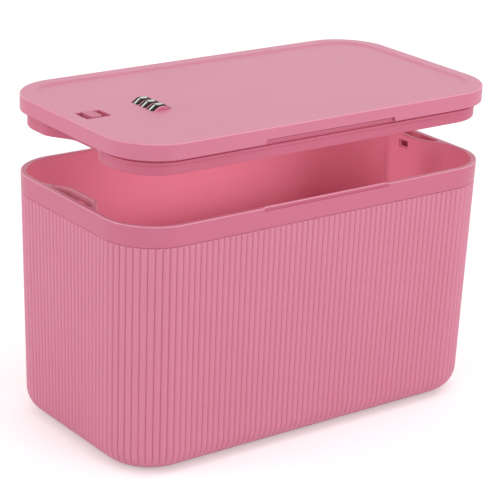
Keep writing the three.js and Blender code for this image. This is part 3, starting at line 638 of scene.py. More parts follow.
def zinc_plated_steel(name, colour):
    """Pressed steel with bright zinc plate: small grey spangles and a fine rolled grain along X."""
    material, tree, place = new_material(name)
    spangle = node(tree, "TexVoronoi", {"Vector": place, "Scale": per_mm(1.6)}).outputs["Color"]
    tones = {0: 0.12, 6: linear(colour), 7: spangle}
    tint = node(tree, "Mix", tones, data_type="RGBA", blend_type="SOFT_LIGHT")
    stretched = node(tree, "Mapping", {"Vector": place, "Scale": (0.05, 1, 1)})
    grain = node(tree, "TexNoise", {"Vector": stretched, "Scale": per_mm(0.3), "Detail": 4.0})
    gloss = node(tree, "MapRange", {"Value": grain, "To Min": 0.24, "To Max": 0.46})
    bump = node(tree, "Bump", {"Height": grain, "Strength": 0.2, "Distance": 0.02 * MM})
    shader = node(tree, "BsdfPrincipled", {
        "Base Color": tint.outputs[2],
        "Metallic": 1.0,
        "Roughness": gloss,
        "Normal": bump,
    })
    node(tree, "OutputMaterial", {"Surface": shader})
    return material


def turned_brass(name, colour):
    """Turned brass: a fine broken sheen from the tool and warm tarnish in soft patches."""
    material, tree, place = new_material(name)
    tarnish = node(tree, "TexNoise", {"Vector": place, "Scale": per_mm(3), "Detail": 4.0})
    tint = node(tree, "Mix", {0: tarnish, 6: linear(colour), 7: linear("#a8823c")}, data_type="RGBA")
    turned = node(tree, "TexNoise", {"Vector": place, "Scale": per_mm(0.25), "Detail": 2.0})
    gloss = node(tree, "MapRange", {"Value": tarnish, "To Min": 0.22, "To Max": 0.42})
    bump = node(tree, "Bump", {"Height": turned, "Strength": 0.2, "Distance": 0.01 * MM})
    shader = node(tree, "BsdfPrincipled", {
        "Base Color": tint.outputs[2],
        "Metallic": 1.0,
        "Roughness": gloss,
        "Normal": bump,
    })
    node(tree, "OutputMaterial", {"Surface": shader})
    return material


# One pink plastic off mould surfaces of different polish: a finer grain is glossier. Some copies below are
# lighter or deeper pink as painted light and shade.
# Ribs, lid top and thumb tab: fine even grain
PINK = moulded_polypropylene("pink_grained_polypropylene", "#d986a0", "#d57f98", 0.36, 0.12)
# Band and rim of the bin: smoother steel, so glossier, and a deeper pink that is painted shade
PINK_SMOOTH_SHADED = moulded_polypropylene("pink_smooth_painted_shade_polypropylene", "#cf728c", "#cb6c86", 0.32, 0.06)
# Skirt of the lid: satin, and a deeper pink than the lid's top, painted shade on its sides
PINK_SKIRT_SHADED = moulded_polypropylene("pink_satin_painted_shade_polypropylene", "#d57d96", "#d17690", 0.34, 0.08)
# Rounded edges of the rim and the lid: a paler pink as a painted highlight, so each draws a light line
PINK_EDGE_HIGHLIGHT = moulded_polypropylene("pink_painted_highlight_polypropylene", "#e59cb2", "#e196ac", 0.24, 0.04)
# Inner tray and keepers: duller and darker
PINK_INNER = moulded_polypropylene("pink_inner_polypropylene", "#cd6a85", "#c9637d", 0.42, 0.1)
# Inside of the bin and the slider's shoe: dull, lit by the walls round them
PINK_DEEP = moulded_polypropylene("pink_deep_polypropylene", "#dc859b", "#d87f95", 0.45, 0.1)
# Catch pockets: painted paler, a painted glow that stands in for light coming through the thin bulge into
# them
PINK_POCKET_GLOW = moulded_polypropylene("pink_painted_glow_polypropylene", "#f2a0b3", "#ee9aad", 0.45, 0.1)
# Dials and their digits, then the pinion, the pressed parts and the small turned parts of the lock
BLACK = glossy_abs("black_glossy_abs", "#0e0e0f")
DIGIT_WHITE = filled_paint("white_filled_paint", "#f2f1ec")
ACETAL = machined_acetal("white_hobbed_acetal", "#efeee8")
STEEL = zinc_plated_steel("zinc_plated_steel", "#b9bdc2")
BRASS = turned_brass("turned_brass", "#c9a35a")


def bin_outside():
    """Rows of the bin's outside: foot, rounded base, ribs, shadow line, band, finger notch and rim."""
    foot_outer = BASE_ROUND + FOOT_INSET
    foot_inner = foot_outer + FOOT_WIDTH
    base_steps = 24
    rim_steps = 5
    stations = outline(RIBS_ON_END, RIBS_ON_SIDE, RIBS_ON_CORNER, RIB_STEPS)
    foot = [
        (foot_inner, FOOT_HEIGHT),
        (foot_inner, FOOT_EDGE),
        (foot_inner - FOOT_EDGE, 0),
        (foot_outer + FOOT_EDGE, 0),
        (foot_outer, FOOT_EDGE),
        (foot_outer, FOOT_HEIGHT),
    ]
    rows = [ring(stations, inset, z, lean_at(0)) for inset, z in foot]
    for inward, down in reversed(rounding(base_steps)):
        z = FOOT_HEIGHT + BASE_ROUND * down
        depth = RIB_DEPTH * smooth(z, RIB_END_LOW, RIB_END_HIGH)
        rows.append(ring(stations, BASE_ROUND * inward, z, lean_at(z), groove=depth))
    band_z = BIN_HEIGHT - BAND_HEIGHT
    line_z = band_z - SHADOW_LINE
    rib_tops = [
        (line_z - RIB_TOP_RUN, 0),
        (line_z - RIB_TOP_RUN / 4, RIB_TOP_SET_BACK / 2),
        (line_z, RIB_TOP_SET_BACK * 2),
        (line_z + SHADOW_LINE / 3, RIB_DEPTH),
    ]
    for z, set_back in rib_tops:
        rows.append(ring(stations, set_back, z, lean_at(z), groove=RIB_DEPTH - set_back))
    band_foot = [
        (RIB_DEPTH, band_z - SHADOW_LINE / 6),
        (BAND_EDGE, band_z),
        (BAND_EDGE / 4, band_z + BAND_EDGE / 2),
        (0, band_z + BAND_EDGE * 2),
    ]
    rows += [ring(stations, inset, z, lean_at(band_z)) for inset, z in band_foot]
    ledge_z = BIN_HEIGHT - RIM_NOTCH_HEIGHT
    for z, share in NOTCH_LEDGE_SHARES:
        rows.append(ring(stations, 0, ledge_z + z, lean_at(ledge_z), notch=RIM_NOTCH_DEPTH * share))
    for inward, down in rounding(rim_steps):
        z = BIN_HEIGHT - RIM_ROUND * down
        rows.append(ring(stations, RIM_ROUND * inward, z, notch=RIM_NOTCH_DEPTH))
    return rows


def bin_inside():
    """Rows of the bin's inside: flat floor, rounded foot of the walls, bulges and rounded rim."""
    floor_steps = 10
    run_out_steps = 8
    rim_steps = 4
    stations = outline(*INSIDE_STATIONS)
    floor_top = FOOT_HEIGHT + FLOOR_THICKNESS
    rows = []
    for inward, down in reversed(rounding(floor_steps)):
        z = floor_top + FLOOR_ROUND * down
        rows.append(ring(stations, wall_at(z) + FLOOR_ROUND * inward, z, lean_at(z)))
    low_z = BIN_HEIGHT - BULGE_DROP - BULGE_RUN_OUT
    for i in range(run_out_steps + 1):
        z = low_z + BULGE_RUN_OUT * i / run_out_steps
        depth = BULGE_DEPTH * smooth(i, 0, run_out_steps)
        rows.append(ring(stations, wall_at(z), z, lean_at(z), bulge=depth))
    for inward, down in rounding(rim_steps):
        z = BIN_HEIGHT - RIM_ROUND * down
        rows.append(ring(stations, RIM_WIDTH - RIM_ROUND * inward, z, bulge=BULGE_DEPTH))
    rows.append(ring(stations, RIM_WIDTH - RIM_ROUND, BIN_HEIGHT + OVERRUN, bulge=BULGE_DEPTH))
    return rows


def pocket_outline(offset):
    """Outline of the slot behind the +X bulge, made larger by an offset."""
    outer = HALF_LENGTH - RIM_WIDTH
    steps = 48
    reach = BULGE_FLAT / 2 + BULGE_RUN
    curve = [reach * (1 - 2 * i / steps) for i in range(steps + 1)]
    depths = [(BULGE_DEPTH * bulge_share(y) - BULGE_WALL, y) for y in curve]
    back = [(outer - depth - offset, y) for depth, y in depths if depth > POCKET_LEAST_DEPTH]
    end = back[0][1]
    half = end + offset
    corner = outer + offset
    return [(corner, -half), (corner, half)] + [(x, y * half / end) for x, y in back]


def flared(rows_at, low_z, top_z, edge_round):
    """Rows of a cutter that widens at the top, so that it leaves a rounded edge there."""
    rows = [rows_at(0, low_z)]
    for outward, down in rounding():
        rows.append(rows_at(edge_round * outward, top_z - edge_round * down))
    rows.append(rows_at(edge_round, top_z + OVERRUN))
    return rows


def mirrored(rows, side):
    """Rows turned half round the upright axis where side is -1."""
    return [[(side * x, side * y, z) for x, y, z in row] for row in rows]


def end_openings(face_x, depths, half_y, half_z, middle_z, name):
    """Cutter with a flared mouth for both short ends, by depths along X from a face."""
    rows = []
    for x, offset in depths:
        points = rectangle(half_y + offset, half_z + offset, OPENING_CORNER + offset)
        rows.append([(face_x + x, y, middle_z + z) for y, z in points])
    return skin([mirrored(rows, side) for side in (-1, 1)], name)


def make_bin():
    """The ribbed tub with its pockets and bolt windows."""
    tub = skin([bin_outside()], "ribbed_bin")
    inside = skin([bin_inside()], "inside")

    def pocket_row(offset, z):
        return level(pocket_outline(offset), z)

    pocket = flared(pocket_row, BIN_HEIGHT - POCKET_DEPTH, BIN_HEIGHT, POCKET_EDGE_ROUND)
    pockets = skin([mirrored(pocket, side) for side in (-1, 1)], "pockets")
    bulge_x = HALF_LENGTH - RIM_WIDTH - BULGE_DEPTH
    window_z = BIN_HEIGHT - WINDOW_BELOW_RIM - WINDOW_HEIGHT / 2
    depths = WINDOW_MOUTH + [(BULGE_WALL + OVERRUN, 0)]
    windows = end_openings(bulge_x, depths, WINDOW_WIDTH / 2, WINDOW_HEIGHT / 2, window_z, "windows")
    combine(tub, ("DIFFERENCE", inside), ("DIFFERENCE", pockets), ("DIFFERENCE", windows))
    rim_low = (BIN_HEIGHT - RIM_ROUND) * MM
    band_low = (BIN_HEIGHT - BAND_HEIGHT) * MM
    ribs, band, inner, edge, slot = range(5)

    def finish_of(face):
        # Rounded edges of the rim take the paler pink of the painted highlight.
        if face.center.z > rim_low and on_round_edge(face, RIM_FLATTEST):
            return edge
        # Faces in the pockets take the paler pink of the painted glow.
        if face.center.z < rim_low and in_pocket(face):
            return slot
        if face.center.z < rim_low and faces_inward(face):
            return inner
        # The band and the rim's top take the deeper pink of painted shade.
        return band if face.center.z > band_low else ribs

    choose_finish(tub, finish_of)
    shade(tub)
    finish(tub, "bin", [PINK, PINK_SMOOTH_SHADED, PINK_DEEP, PINK_EDGE_HIGHLIGHT, PINK_POCKET_GLOW], "bin_tub")


def lid_shell_rows():
    """Rows of the lid's top shell, from under its panel round the skirt to the sunk panel."""
    stations = outline(*LID_STATIONS)
    foot_steps = 4
    edge_steps = 6
    slope_steps = 6
    foot = SKIRT_FOOT_ROUND
    inner = LID_EDGE + SKIRT_WALL
    places = [
        (inner + PANEL_RECESS, PANEL_UNDER),
        (inner, PANEL_UNDER - PANEL_RECESS),
        (inner, foot),
    ]
    middle = (inner + LID_EDGE) / 2
    for i in range(foot_steps + 1):
        angle = math.pi * i / foot_steps
        half = (SKIRT_WALL / 2 - foot) + foot * abs(math.cos(angle))
        inset = middle + math.copysign(half, math.cos(angle))
        places.append((inset, foot * (1 - math.sin(angle))))
    for inward, down in rounding(edge_steps):
        places.append((LID_EDGE + LID_EDGE_ROUND * inward, SKIRT_HEIGHT - LID_EDGE_ROUND * down))
    for i in range(slope_steps + 1):
        share = i / slope_steps
        z = SKIRT_HEIGHT - PANEL_RECESS * smooth(share, 0, 1)
        places.append((LID_EDGE + BORDER_WIDTH + PANEL_SLOPE * share, z))
    return [ring(stations, inset, z) for inset, z in places]


def lifted(rows):
    """Rows moved up from the lid's plane to where the lid stands."""
    return [[(x, y, z + LID_Z) for x, y, z in row] for row in rows]


def dial_slot(centre):
    """Cutter for one dial's slot: as long as the dial's round gap is at each height."""
    half_width = DIAL_HALF_WIDTH + SLOT_GAP
    reach = DIAL_RADIUS + SLOT_GAP

    def rows_at(offset, z):
        half_length = math.sqrt(reach ** 2 - (z - centre.z) ** 2)
        return level(rectangle(half_length + offset, half_width + offset, SLOT_CORNER + offset, centre.xy), z)

    return flared(rows_at, LID_Z + PANEL_UNDER - OVERRUN, PANEL_Z, SLOT_EDGE_ROUND)


def dial_fins():
    """Rows of the arched fins that stand beside the dials, a little lower than them."""
    half_gap = (DIAL_CENTRES[1].y - DIAL_CENTRES[0].y) / 2
    half_fin = half_gap - DIAL_HALF_WIDTH - SLOT_GAP
    low = PANEL_Z - FIN_SUNK
    steps = 24
    fins = []
    for i in range(len(DIAL_CENTRES) + 1):
        centre = DIAL_CENTRES[0] + Vector((0, (2 * i - 1) * half_gap, 0))
        rows = []
        for side in (-1, 1):
            arc = []
            for inward, down in rounding():
                radius = DIAL_RADIUS - FIN_BELOW_DIAL - FIN_EDGE * down
                start = math.asin((low - centre.z) / radius)
                turns = [start + (math.pi - 2 * start) * k / steps for k in range(steps + 1)]
                y = centre.y + side * (half_fin - FIN_EDGE * inward)
                points = [(radius * math.cos(a), radius * math.sin(a)) for a in turns]
                arc.append([(centre.x + x, y, centre.z + z) for x, z in points])
            rows += arc if side < 0 else arc[::-1]
        fins.append(rows)
    return fins


def nodes_named(prefix):
    """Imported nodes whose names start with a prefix, in order."""
    return sorted(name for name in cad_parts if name.startswith(prefix))


def packed_part(name, region):
    """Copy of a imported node's mesh, kept only where it lies inside a region."""
    shape = bmesh.new()
    shape.from_mesh(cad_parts[name].data)
    bmesh.ops.remove_doubles(shape, verts=shape.verts, dist=WELD_DISTANCE)
    copy = placed(shape, name + "_copy")
    combine(copy, ("INTERSECT", region))
    return copy


def make_lid_shell():
    """The lid's top shell with its slots, notch and slider window, and the posts and rails inside it."""
    shell = skin([lifted(lid_shell_rows())], "lid_shell")
    stations = outline(*LID_STATIONS)
    inner = LID_EDGE + SKIRT_WALL + PANEL_RECESS + OVERRUN
    levels = [TRAY_FLOOR_TOP, PANEL_UNDER + PANEL_THICKNESS / 3]
    region = skin([lifted([ring(stations, inner, z) for z in levels])], "shell_region")
    details = packed_part("lid_top_shell", region)
    half_x, half_y = SLIDER_WINDOW_LENGTH / 2, SLIDER_WINDOW_WIDTH / 2

    def window_row(offset, z):
        return level(rectangle(half_x + offset, half_y + offset, SLIDER_WINDOW_CORNER, (TAB_X, 0)), z)

    window = skin([flared(window_row, PANEL_Z - THUMB_DEPTH, PANEL_Z, SLIDER_WINDOW_ROUND)], "window")
    slots = skin([dial_slot(place) for place in DIAL_CENTRES], "slots")
    face = rectangle(NOTCH_LENGTH / 2, SKIRT_NOTCH_HEIGHT, SKIRT_NOTCH_CORNER)
    reach = HALF_WIDTH - LID_EDGE
    depths = [-reach - OVERRUN, SKIRT_WALL + OVERRUN - reach]
    notch = skin([[[(x, y, LID_Z + z) for x, z in face] for y in depths]], "skirt_notch")
    combine(
        shell,
        ("UNION", details),
        ("UNION", skin(dial_fins(), "dial_fins")),
        ("DIFFERENCE", window),
        ("DIFFERENCE", slots),
        ("DIFFERENCE", notch),
    )
    edge_low = (LID_TOP_HIGH.z - LID_EDGE_ROUND) * MM
    upper, skirt, edge = range(3)

    def finish_of(face):
        # Rounded top edges of the lid take the paler pink of the painted highlight.
        if face.center.z > edge_low and on_round_edge(face, LID_FLATTEST):
            return edge
        # Faces that look up keep the base pink, and the skirt's sides take the deeper pink of painted shade.
        return upper if face.normal.z > TOP_STEEPEST else skirt

    choose_finish(shell, finish_of)
    shade(shell)
    finish(shell, "lid", [PINK, PINK_SKIRT_SHADED, PINK_EDGE_HIGHLIGHT], "lid_top_shell")


def block_rows(half_x, half_y, corner, centre, low, high, edge):
    """Rows of an upright block with rounded corners and rounded top and bottom edges."""
    arc = [(edge * rise, edge * inset) for rise, inset in rounding(4)]
    places = [(low + rise, inset) for rise, inset in arc]
    places += [(high - rise, inset) for rise, inset in reversed(arc)]
    rows = []
    for z, inset in places:
        points = rectangle(half_x - inset, half_y - inset, max(corner - inset, edge / 4), centre)
        rows.append(level(points, z))
    return rows


def make_thumb_slider():
    """The thumb slider: grooved tab, broad shoe under the lid's panel and a stem down to its pin."""
    shoe_top = PANEL_Z - THUMB_DEPTH - GAP
    shoe_under = shoe_top - SHOE_THICKNESS
    middle = (SLIDER_LOW + SLIDER_HIGH) / 2
    half = (SLIDER_HIGH - SLIDER_LOW) / 2
    pin_x = sum(corner.x for corner in box_mm("slider_pin")) / 2
    tab_top = SLIDER_HIGH.z
    shoe = block_rows(half.x, half.y, SHOE_CORNER, middle.xy, shoe_under, shoe_top, SHOE_EDGE)
    slider = skin([shoe], "thumb_tab")
    tab_low = shoe_under + SHOE_EDGE
    tab = block_rows(TAB_LENGTH / 2, TAB_WIDTH / 2, TAB_CORNER, (TAB_X, 0), tab_low, tab_top, TAB_EDGE)
    stem_top = shoe_top - SHOE_EDGE
    stem = block_rows(STEM_HALF, STEM_HALF, SHOE_CORNER, (pin_x, 0), SLIDER_LOW.z, stem_top, SHOE_EDGE)
    groove_steps = 6
    turns = [math.pi * j / groove_steps for j in range(groove_steps + 1)]
    grooves = []
    pitch = TAB_LENGTH / (TAB_GROOVES + 1)
    width = TAB_WIDTH / 2 + OVERRUN
    for i in range(1, TAB_GROOVES + 1):
        x = TAB_X - TAB_LENGTH / 2 + i * pitch
        arc = [(x + TAB_GROOVE_HALF * math.cos(a), tab_top - TAB_GROOVE_HALF * math.sin(a)) for a in turns]
        arc += [(x - TAB_GROOVE_HALF, tab_top + OVERRUN), (x + TAB_GROOVE_HALF, tab_top + OVERRUN)]
        grooves.append([[(px, y, pz) for px, pz in arc] for y in (-width, width)])
    bore_levels = [SLIDER_LOW.z - OVERRUN, SLIDER_LOW.z + PIN_BORE_DEPTH]
    bore = skin([[circle(PIN_BORE_RADIUS, z, (pin_x, 0)) for z in bore_levels]], "pin_bore")
    combine(
        slider,
        ("UNION", skin([tab], "tab")),
        ("UNION", skin([stem], "stem")),
        ("DIFFERENCE", skin(grooves, "grooves")),
        ("DIFFERENCE", bore),
    )
    grained, dull = range(2)
    tab_foot = (shoe_top + SHOE_EDGE) * MM
    choose_finish(slider, lambda face: dull if face.center.z < tab_foot else grained)
    shade(slider, sharp_degrees=35)
    finish(slider, "slider", [PINK, PINK_DEEP], "thumb_slider")


def lid_tray_rows():
    """Rows of the inner tray: underside, lip with its ridge and neck, flange, then down inside it."""
    stations = outline(*TRAY_STATIONS)
    ridge = LIP_INSET - LIP_STEP
    inside = LIP_INSET + LIP_WALL
    edge = LIP_EDGE_ROUND
    lip = [(LIP_INSET + edge * inset, edge * rise - LIP_DEPTH) for rise, inset in rounding(4)]
    lip += [
        (LIP_INSET, -LIP_STEP_HEIGHT - LIP_LINE),
        (LIP_INSET + LIP_LINE, -LIP_STEP_HEIGHT),
        (ridge + LIP_LINE / 4, LIP_LINE / 4 - LIP_STEP_HEIGHT),
        (ridge, LIP_LINE - LIP_STEP_HEIGHT),
        (ridge, -LIP_NECK_HEIGHT - LIP_LINE / 2),
        (ridge + LIP_LINE / 2, -LIP_NECK_HEIGHT),
        (LIP_NECK_INSET, -LIP_NECK_HEIGHT),
        (LIP_NECK_INSET, 0),
    ]
    flange = [(FLANGE_INSET, 0), (FLANGE_INSET, FLANGE_THICKNESS)]
    inner = [
        (inside, FLANGE_THICKNESS),
        (inside, TRAY_FLOOR_TOP + edge),
        (inside + edge, TRAY_FLOOR_TOP),
    ]
    rows = []
    for places, bulge in [(lip, BULGE_DEPTH), (flange, 0), (inner, BULGE_DEPTH)]:
        rows += [ring(stations, inset, z, bulge=bulge) for inset, z in places]
    return rows


def make_lid_tray():
    """The lid's inner tray, with the bolts' ports, sunk screw holes, pads, ribs and guide walls."""
    tray = skin([lifted(lid_tray_rows())], "lid_tray")
    stations = outline(*TRAY_STATIONS)
    inner = LIP_INSET + LIP_WALL + LIP_EDGE_ROUND + DETAIL_INSET
    levels = [TRAY_FLOOR_TOP - TRAY_FLOOR / 4, FLANGE_THICKNESS]
    region = skin([lifted([ring(stations, inner, z, bulge=BULGE_DEPTH) for z in levels])], "tray_region")
    details = packed_part("lid_inner_tray", region)

    half_y = TONGUE_WIDTH / 2 + PORT_GAP
    half_z = TONGUE_HEIGHT / 2 + PORT_GAP
    middle_z = box_mm("left_bolt")[0].z + TONGUE_HEIGHT / 2
    face_x = HALF_LENGTH - LIP_INSET - BULGE_DEPTH
    depths = [(-depth, offset) for depth, offset in PORT_MOUTH + [(LIP_WALL + OVERRUN, 0)]]
    ports = end_openings(face_x, depths, half_y, half_z, middle_z, "ports")

    holes = []
    for name in nodes_named("lid_screw"):
        low, high = box_mm(name)
        centre = ((low + high) / 2).xy
        head = (high.y - low.y) / 2 + GAP
        seat = low.z + SCREW_HEAD_HEIGHT + GAP
        steps = [
            (head + HOLE_FLARE, low.z - OVERRUN),
            (head + HOLE_FLARE, low.z),
            (head, low.z + HOLE_FLARE),
            (head, seat),
            (SCREW_HOLE_RADIUS, seat),
            (SCREW_HOLE_RADIUS, low.z + TRAY_FLOOR + OVERRUN),
        ]
        holes.append([circle(radius, z, centre) for radius, z in steps])
    seat_levels = [box_mm("pinion_pin")[0].z, LID_Z + TRAY_FLOOR_TOP + OVERRUN]
    holes.append([circle(PIN_SEAT_RADIUS, z) for z in seat_levels])
    combine(tray, ("UNION", details), ("DIFFERENCE", ports), ("DIFFERENCE", skin(holes, "screw_holes")))
    shade(tray, sharp_degrees=35)
    finish(tray, "lid", [PINK_INNER], "lid_inner_tray")


def screw_mesh(head_radius, length):
    """Pan-head screw from its head's face at 0 to its tip, with a cross recess and a helical thread."""
    sides = 24
    rows = []
    for rise, inset in rounding():
        rows.append(circle(head_radius - HEAD_CROWN * inset, HEAD_ROUND * rise, sides=sides))
    rows.append(circle(head_radius, SCREW_HEAD_HEIGHT, sides=sides))
    steps = math.floor((length - SCREW_HEAD_HEIGHT - SCREW_TIP) / THREAD_PITCH * THREAD_STEPS)
    for i in range(steps + 1):
        z = SCREW_HEAD_HEIGHT + i * THREAD_PITCH / THREAD_STEPS
        row = []
        for j in range(sides):
            phase = (i / THREAD_STEPS - j / sides) % 1
            radius = SCREW_RADIUS - THREAD_DEPTH * abs(2 * phase - 1)
            angle = 2 * math.pi * j / sides
            row.append((radius * math.cos(angle), radius * math.sin(angle), z))
        rows.append(row)
    rows.append(circle(SCREW_RADIUS / 3, length, sides=sides))
    screw = skin([rows], "screw")
    crosses = [
        (RECESS_ARM, RECESS_HALF_WIDTH, -OVERRUN),
        (RECESS_ARM, RECESS_HALF_WIDTH, 0),
        (RECESS_FLOOR_ARM, RECESS_FLOOR_HALF_WIDTH, RECESS_DEPTH),
    ]
    recess = []
    for arm, half, z in crosses:
        quarter = [(arm, -half), (arm, half), (half, half)]
        cross = []
        for turn in range(4):
            c, s = round(math.cos(QUARTER_TURN * turn)), round(math.sin(QUARTER_TURN * turn))
            cross += [(x * c - y * s, x * s + y * c, z) for x, y in quarter]
        recess.append(cross)
    combine(screw, ("DIFFERENCE", skin([recess], "recess")))
    mesh = screw.data
    bpy.data.objects.remove(screw)
    return mesh


def make_screws():
    """Each screw in its packed place, turned a little differently from the last."""
    for prefix, head_up in [("lid_screw", False), ("keeper_screw", True), ("frame_screw", False)]:
        names = nodes_named(prefix)
        low, high = box_mm(names[0])
        model = screw_mesh((high.y - low.y) / 2, high.z - low.z)
        for i, name in enumerate(names):
            low, high = box_mm(name)
            middle = (low + high) / 2
            place = Matrix.Translation(Vector((middle.x, middle.y, high.z if head_up else low.z)) * MM)
            flip = Matrix.Rotation(math.pi if head_up else 0, 4, "X")
            mesh = model.copy()
            mesh.transform(place @ flip @ Matrix.Rotation(i * SCREW_TURN, 4, "Z"))
            screw = linked(f"cross_head_{name}", mesh)
            shade(screw, sharp_degrees=35)
            finish(screw, "lid", [STEEL], name)


def digit_mesh(digit):
    """Flat bold digit in millimetres, with its middle at the origin."""
    text = bpy.data.curves.new(f"digit_{digit}", "FONT")
    text.body = str(digit)
    text.size = 1
    text.offset = DIGIT_BOLD
    text.resolution_u = 4
    carrier = linked(f"digit_{digit}", text)
    mesh = settled_mesh(carrier)
    bpy.data.objects.remove(carrier)
    xs = [v.co.x for v in mesh.vertices]
    ys = [v.co.y for v in mesh.vertices]
    middle = Vector(((min(xs) + max(xs)) / 2, (min(ys) + max(ys)) / 2, 0))
    size = DIGIT_HEIGHT / (max(ys) - min(ys))
    mesh.transform(Matrix.Scale(size, 4) @ Matrix.Translation(-middle))
    return mesh


def dial_rows():
    """Rows of a dial about the Y axis, from its bore round one rim, its flats and the other rim."""
    turn = 2 * math.pi / DIAL_FACETS
    corners = [
        (DIAL_RADIUS * math.cos(turn * (i + 0.5)), DIAL_RADIUS * math.sin(turn * (i + 0.5)))
        for i in range(DIAL_FACETS)
    ]
    points = rounded(corners, DIAL_CORNER_ROUND, steps=2)

    def row(inset, y):
        share = 1 - inset / DIAL_RADIUS
        return [(x * share, y, z * share) for z, x in points]

    bore = [Vector(point).normalized() * DIAL_BORE_RADIUS for point in points]
    rows = [[(x, -DIAL_HALF_WIDTH, z) for z, x in bore]]
    for side in (-1, 1):
        arc = []
        for inward, down in rounding():
            arc.append(row(DIAL_BEVEL * down, side * (DIAL_HALF_WIDTH - DIAL_BEVEL * inward)))
        rows += arc if side < 0 else arc[::-1]
    rows.append([(x, DIAL_HALF_WIDTH, z) for z, x in bore])
    return rows


def make_dials():
    """Three ten-sided number dials with their painted digits, 0 uppermost and 1 next towards -X."""
    digits = [digit_mesh(digit) for digit in range(DIAL_FACETS)]
    apothem = DIAL_RADIUS * math.cos(math.pi / DIAL_FACETS)
    upright = Matrix(((0, 1, 0), (-1, 0, 0), (0, 0, 1))).to_4x4()
    painted = 1
    for number, (name, centre) in enumerate(zip(DIAL_NODES, DIAL_CENTRES), 1):
        wheel = skin([dial_rows()], f"dial_wheel_{number}", closed=True)
        shape = bmesh.new()
        shape.from_mesh(wheel.data)
        bpy.data.objects.remove(wheel)
        shape.transform(Matrix.Translation(centre * MM))
        for digit, mesh in enumerate(digits):
            turn = Matrix.Rotation(-2 * math.pi * digit / DIAL_FACETS, 4, "Y")
            place = Matrix.Translation(centre) @ turn @ Matrix.Translation((0, 0, apothem)) @ upright
            first = len(shape.faces)
            copy = mesh.copy()
            copy.transform(Matrix.Scale(MM, 4) @ place)
            shape.from_mesh(copy)
            shape.faces.ensure_lookup_table()
            added = shape.faces[first:]
            raised = bmesh.ops.extrude_face_region(shape, geom=added)["geom"]
            outward = turn.to_3x3() @ Vector((0, 0, DIGIT_RELIEF * MM))
            tops = [item for item in raised if isinstance(item, bmesh.types.BMVert)]
            bmesh.ops.translate(shape, vec=outward, verts=tops)
            shape.faces.ensure_lookup_table()
            for face in shape.faces[first:]:
                face.material_index = painted
        bmesh.ops.recalc_face_normals(shape, faces=shape.faces)
        dial = placed(shape, f"number_wheel_{number}")
        shade(dial, sharp_degrees=25)
        finish(dial, f"dial_{number}", [BLACK, DIGIT_WHITE], name)


def dress(prefixes, material, edge):
    """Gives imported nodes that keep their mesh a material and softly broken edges."""
    for prefix in prefixes:
        for name in nodes_named(prefix):
            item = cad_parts[name]
            item.data.materials.clear()
            item.data.materials.append(material)
            weld = item.modifiers.new("weld", "WELD")
            weld.merge_threshold = WELD_DISTANCE
            soften(item, edge)


def make_stage():
    """Pale floor that shows white and keeps the box's faint shadow, and a white room round it."""
    shape = bmesh.new()
    bmesh.ops.create_grid(shape, x_segments=1, y_segments=1, size=FLOOR_REACH)
    floor = placed(shape, "pale_floor")
    # Matt card with a faint cloudy tone. The camera alone sees a glow in it, so it shows nearly white.
    material, tree, place = new_material("matt_white_board")
    seen = node(tree, "LightPath")
    cloud = node(tree, "TexNoise", {"Vector": place, "Scale": per_mm(120)})
    board = node(tree, "Mix", {0: cloud, 6: linear("#f4f4f4"), 7: linear("#f8f8f8")}, data_type="RGBA")
    diffuse = node(tree, "BsdfDiffuse", {"Color": board.outputs[2]})
    glow = node(tree, "Emission", {"Color": linear("#ffffff"), "Strength": FLOOR_GLOW})
    both = node(tree, "AddShader", {0: diffuse, 1: glow})
    choice = node(tree, "MixShader", {0: seen.outputs["Is Camera Ray"], 1: diffuse, 2: both})
    node(tree, "OutputMaterial", {"Surface": choice})
    floor.data.materials.append(material)
    floor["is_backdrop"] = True

    world = bpy.data.worlds.new("white_room")
    bpy.context.scene.world = world
    world.use_nodes = True
    tree = world.node_tree
    tree.nodes.clear()
    seen = node(tree, "LightPath")
    # White in view and in reflections, and dimmer as a light
    direct = seen.outputs["Is Camera Ray"]
    for kind in ("Is Glossy Ray", "Is Transmission Ray"):
        direct = node(tree, "Math", {0: direct, 1: seen.outputs[kind]}, operation="MAXIMUM")
    room = node(tree, "Background", {"Color": linear("#ffffff"), "Strength": ROOM_LIGHT})
    white = node(tree, "Background", {"Color": linear("#ffffff"), "Strength": 1.0})
    choice = node(tree, "MixShader", {0: direct, 1: room, 2: white})
    node(tree, "OutputWorld", {"Surface": choice})


def direction(azimuth, elevation):
    """Unit vector from the object towards a viewer."""
    a, e = math.radians(azimuth), math.radians(elevation)
    return Vector((math.sin(a) * math.cos(e), -math.cos(a) * math.cos(e), math.sin(e)))


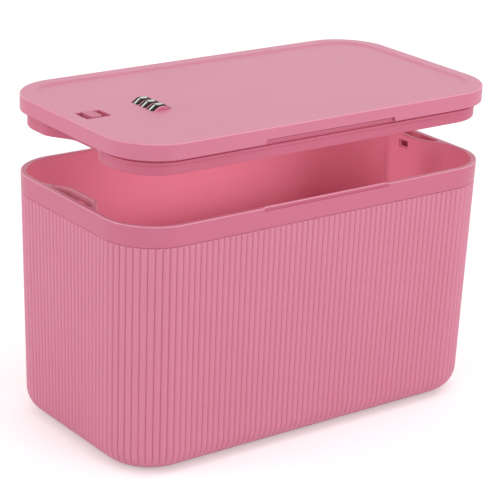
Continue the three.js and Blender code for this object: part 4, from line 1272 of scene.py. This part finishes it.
def make_lamps():
    """Large soft lamps aimed at the middle of the box, and a small one inside the bin."""
    middle = Vector(CAMERA_TARGET) * MM
    for name, azimuth, elevation, distance, size, power in LAMPS:
        lamp = bpy.data.lights.new(name, "AREA")
        lamp.shape = "DISK"
        lamp.size = size
        lamp.energy = power
        holder = linked(name, lamp)
        back = direction(azimuth, elevation)
        holder.location = middle + back * distance
        holder.rotation_mode = "QUATERNION"
        holder.rotation_quaternion = (-back).to_track_quat("-Z", "Y")

    height, length, width, power = GLOW_LAMP
    lamp = bpy.data.lights.new("bin_glow", "AREA")
    lamp.shape = "RECTANGLE"
    lamp.size = length * MM
    lamp.size_y = width * MM
    lamp.energy = power
    holder = linked("bin_glow", lamp)
    holder.location = (0, 0, height * MM)
    holder.rotation_euler = (math.pi, 0, 0)
    holder.visible_camera = False
    holder.visible_glossy = False


def make_camera():
    """Camera at the photograph's place, rolled as it was held."""
    camera = bpy.data.cameras.new("camera")
    camera.sensor_width = SENSOR_WIDTH
    camera.lens = FOCAL_PIXELS / FRAME_PIXELS * SENSOR_WIDTH
    camera.clip_end = CAMERA_FAR
    holder = linked("camera", camera)
    back = direction(CAMERA_AZIMUTH, CAMERA_ELEVATION)
    right = (-back).cross(Vector((0, 0, 1))).normalized()
    up = right.cross(-back)
    roll = math.radians(CAMERA_ROLL)
    rolled_right = right * math.cos(roll) + up * math.sin(roll)
    rolled_up = up * math.cos(roll) - right * math.sin(roll)
    turn = Matrix((rolled_right, rolled_up, back)).transposed()
    place = (Vector(CAMERA_TARGET) + back * CAMERA_DISTANCE) * MM
    holder.matrix_world = Matrix.Translation(place) @ turn.to_4x4()
    bpy.context.scene.camera = holder


bpy.context.scene.view_settings.view_transform = "Standard"
make_camera()
make_stage()
make_lamps()
make_bin()
make_lid_shell()
make_lid_tray()
make_dials()
make_thumb_slider()
make_screws()
dress(["left_bolt", "right_bolt", "fence_comb", "lock_frame", "detent_spring"], STEEL, edge=0.12)
dress(["dial_axle", "axle_clip", "slider_pin", "pinion_pin"], STEEL, edge=0.12)
dress(["left_inner_keeper", "left_outer_keeper"], PINK_INNER, edge=0.2)
dress(["right_inner_keeper", "right_outer_keeper"], PINK_INNER, edge=0.2)
dress(["drive_pinion"], ACETAL, edge=0.1)
dress(["code_disc", "fence_rivet"], BRASS, edge=0.12)

corners = {"cad": cad_box, "visual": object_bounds()}
{name: [list(corner) for corner in pair] for name, pair in corners.items()}
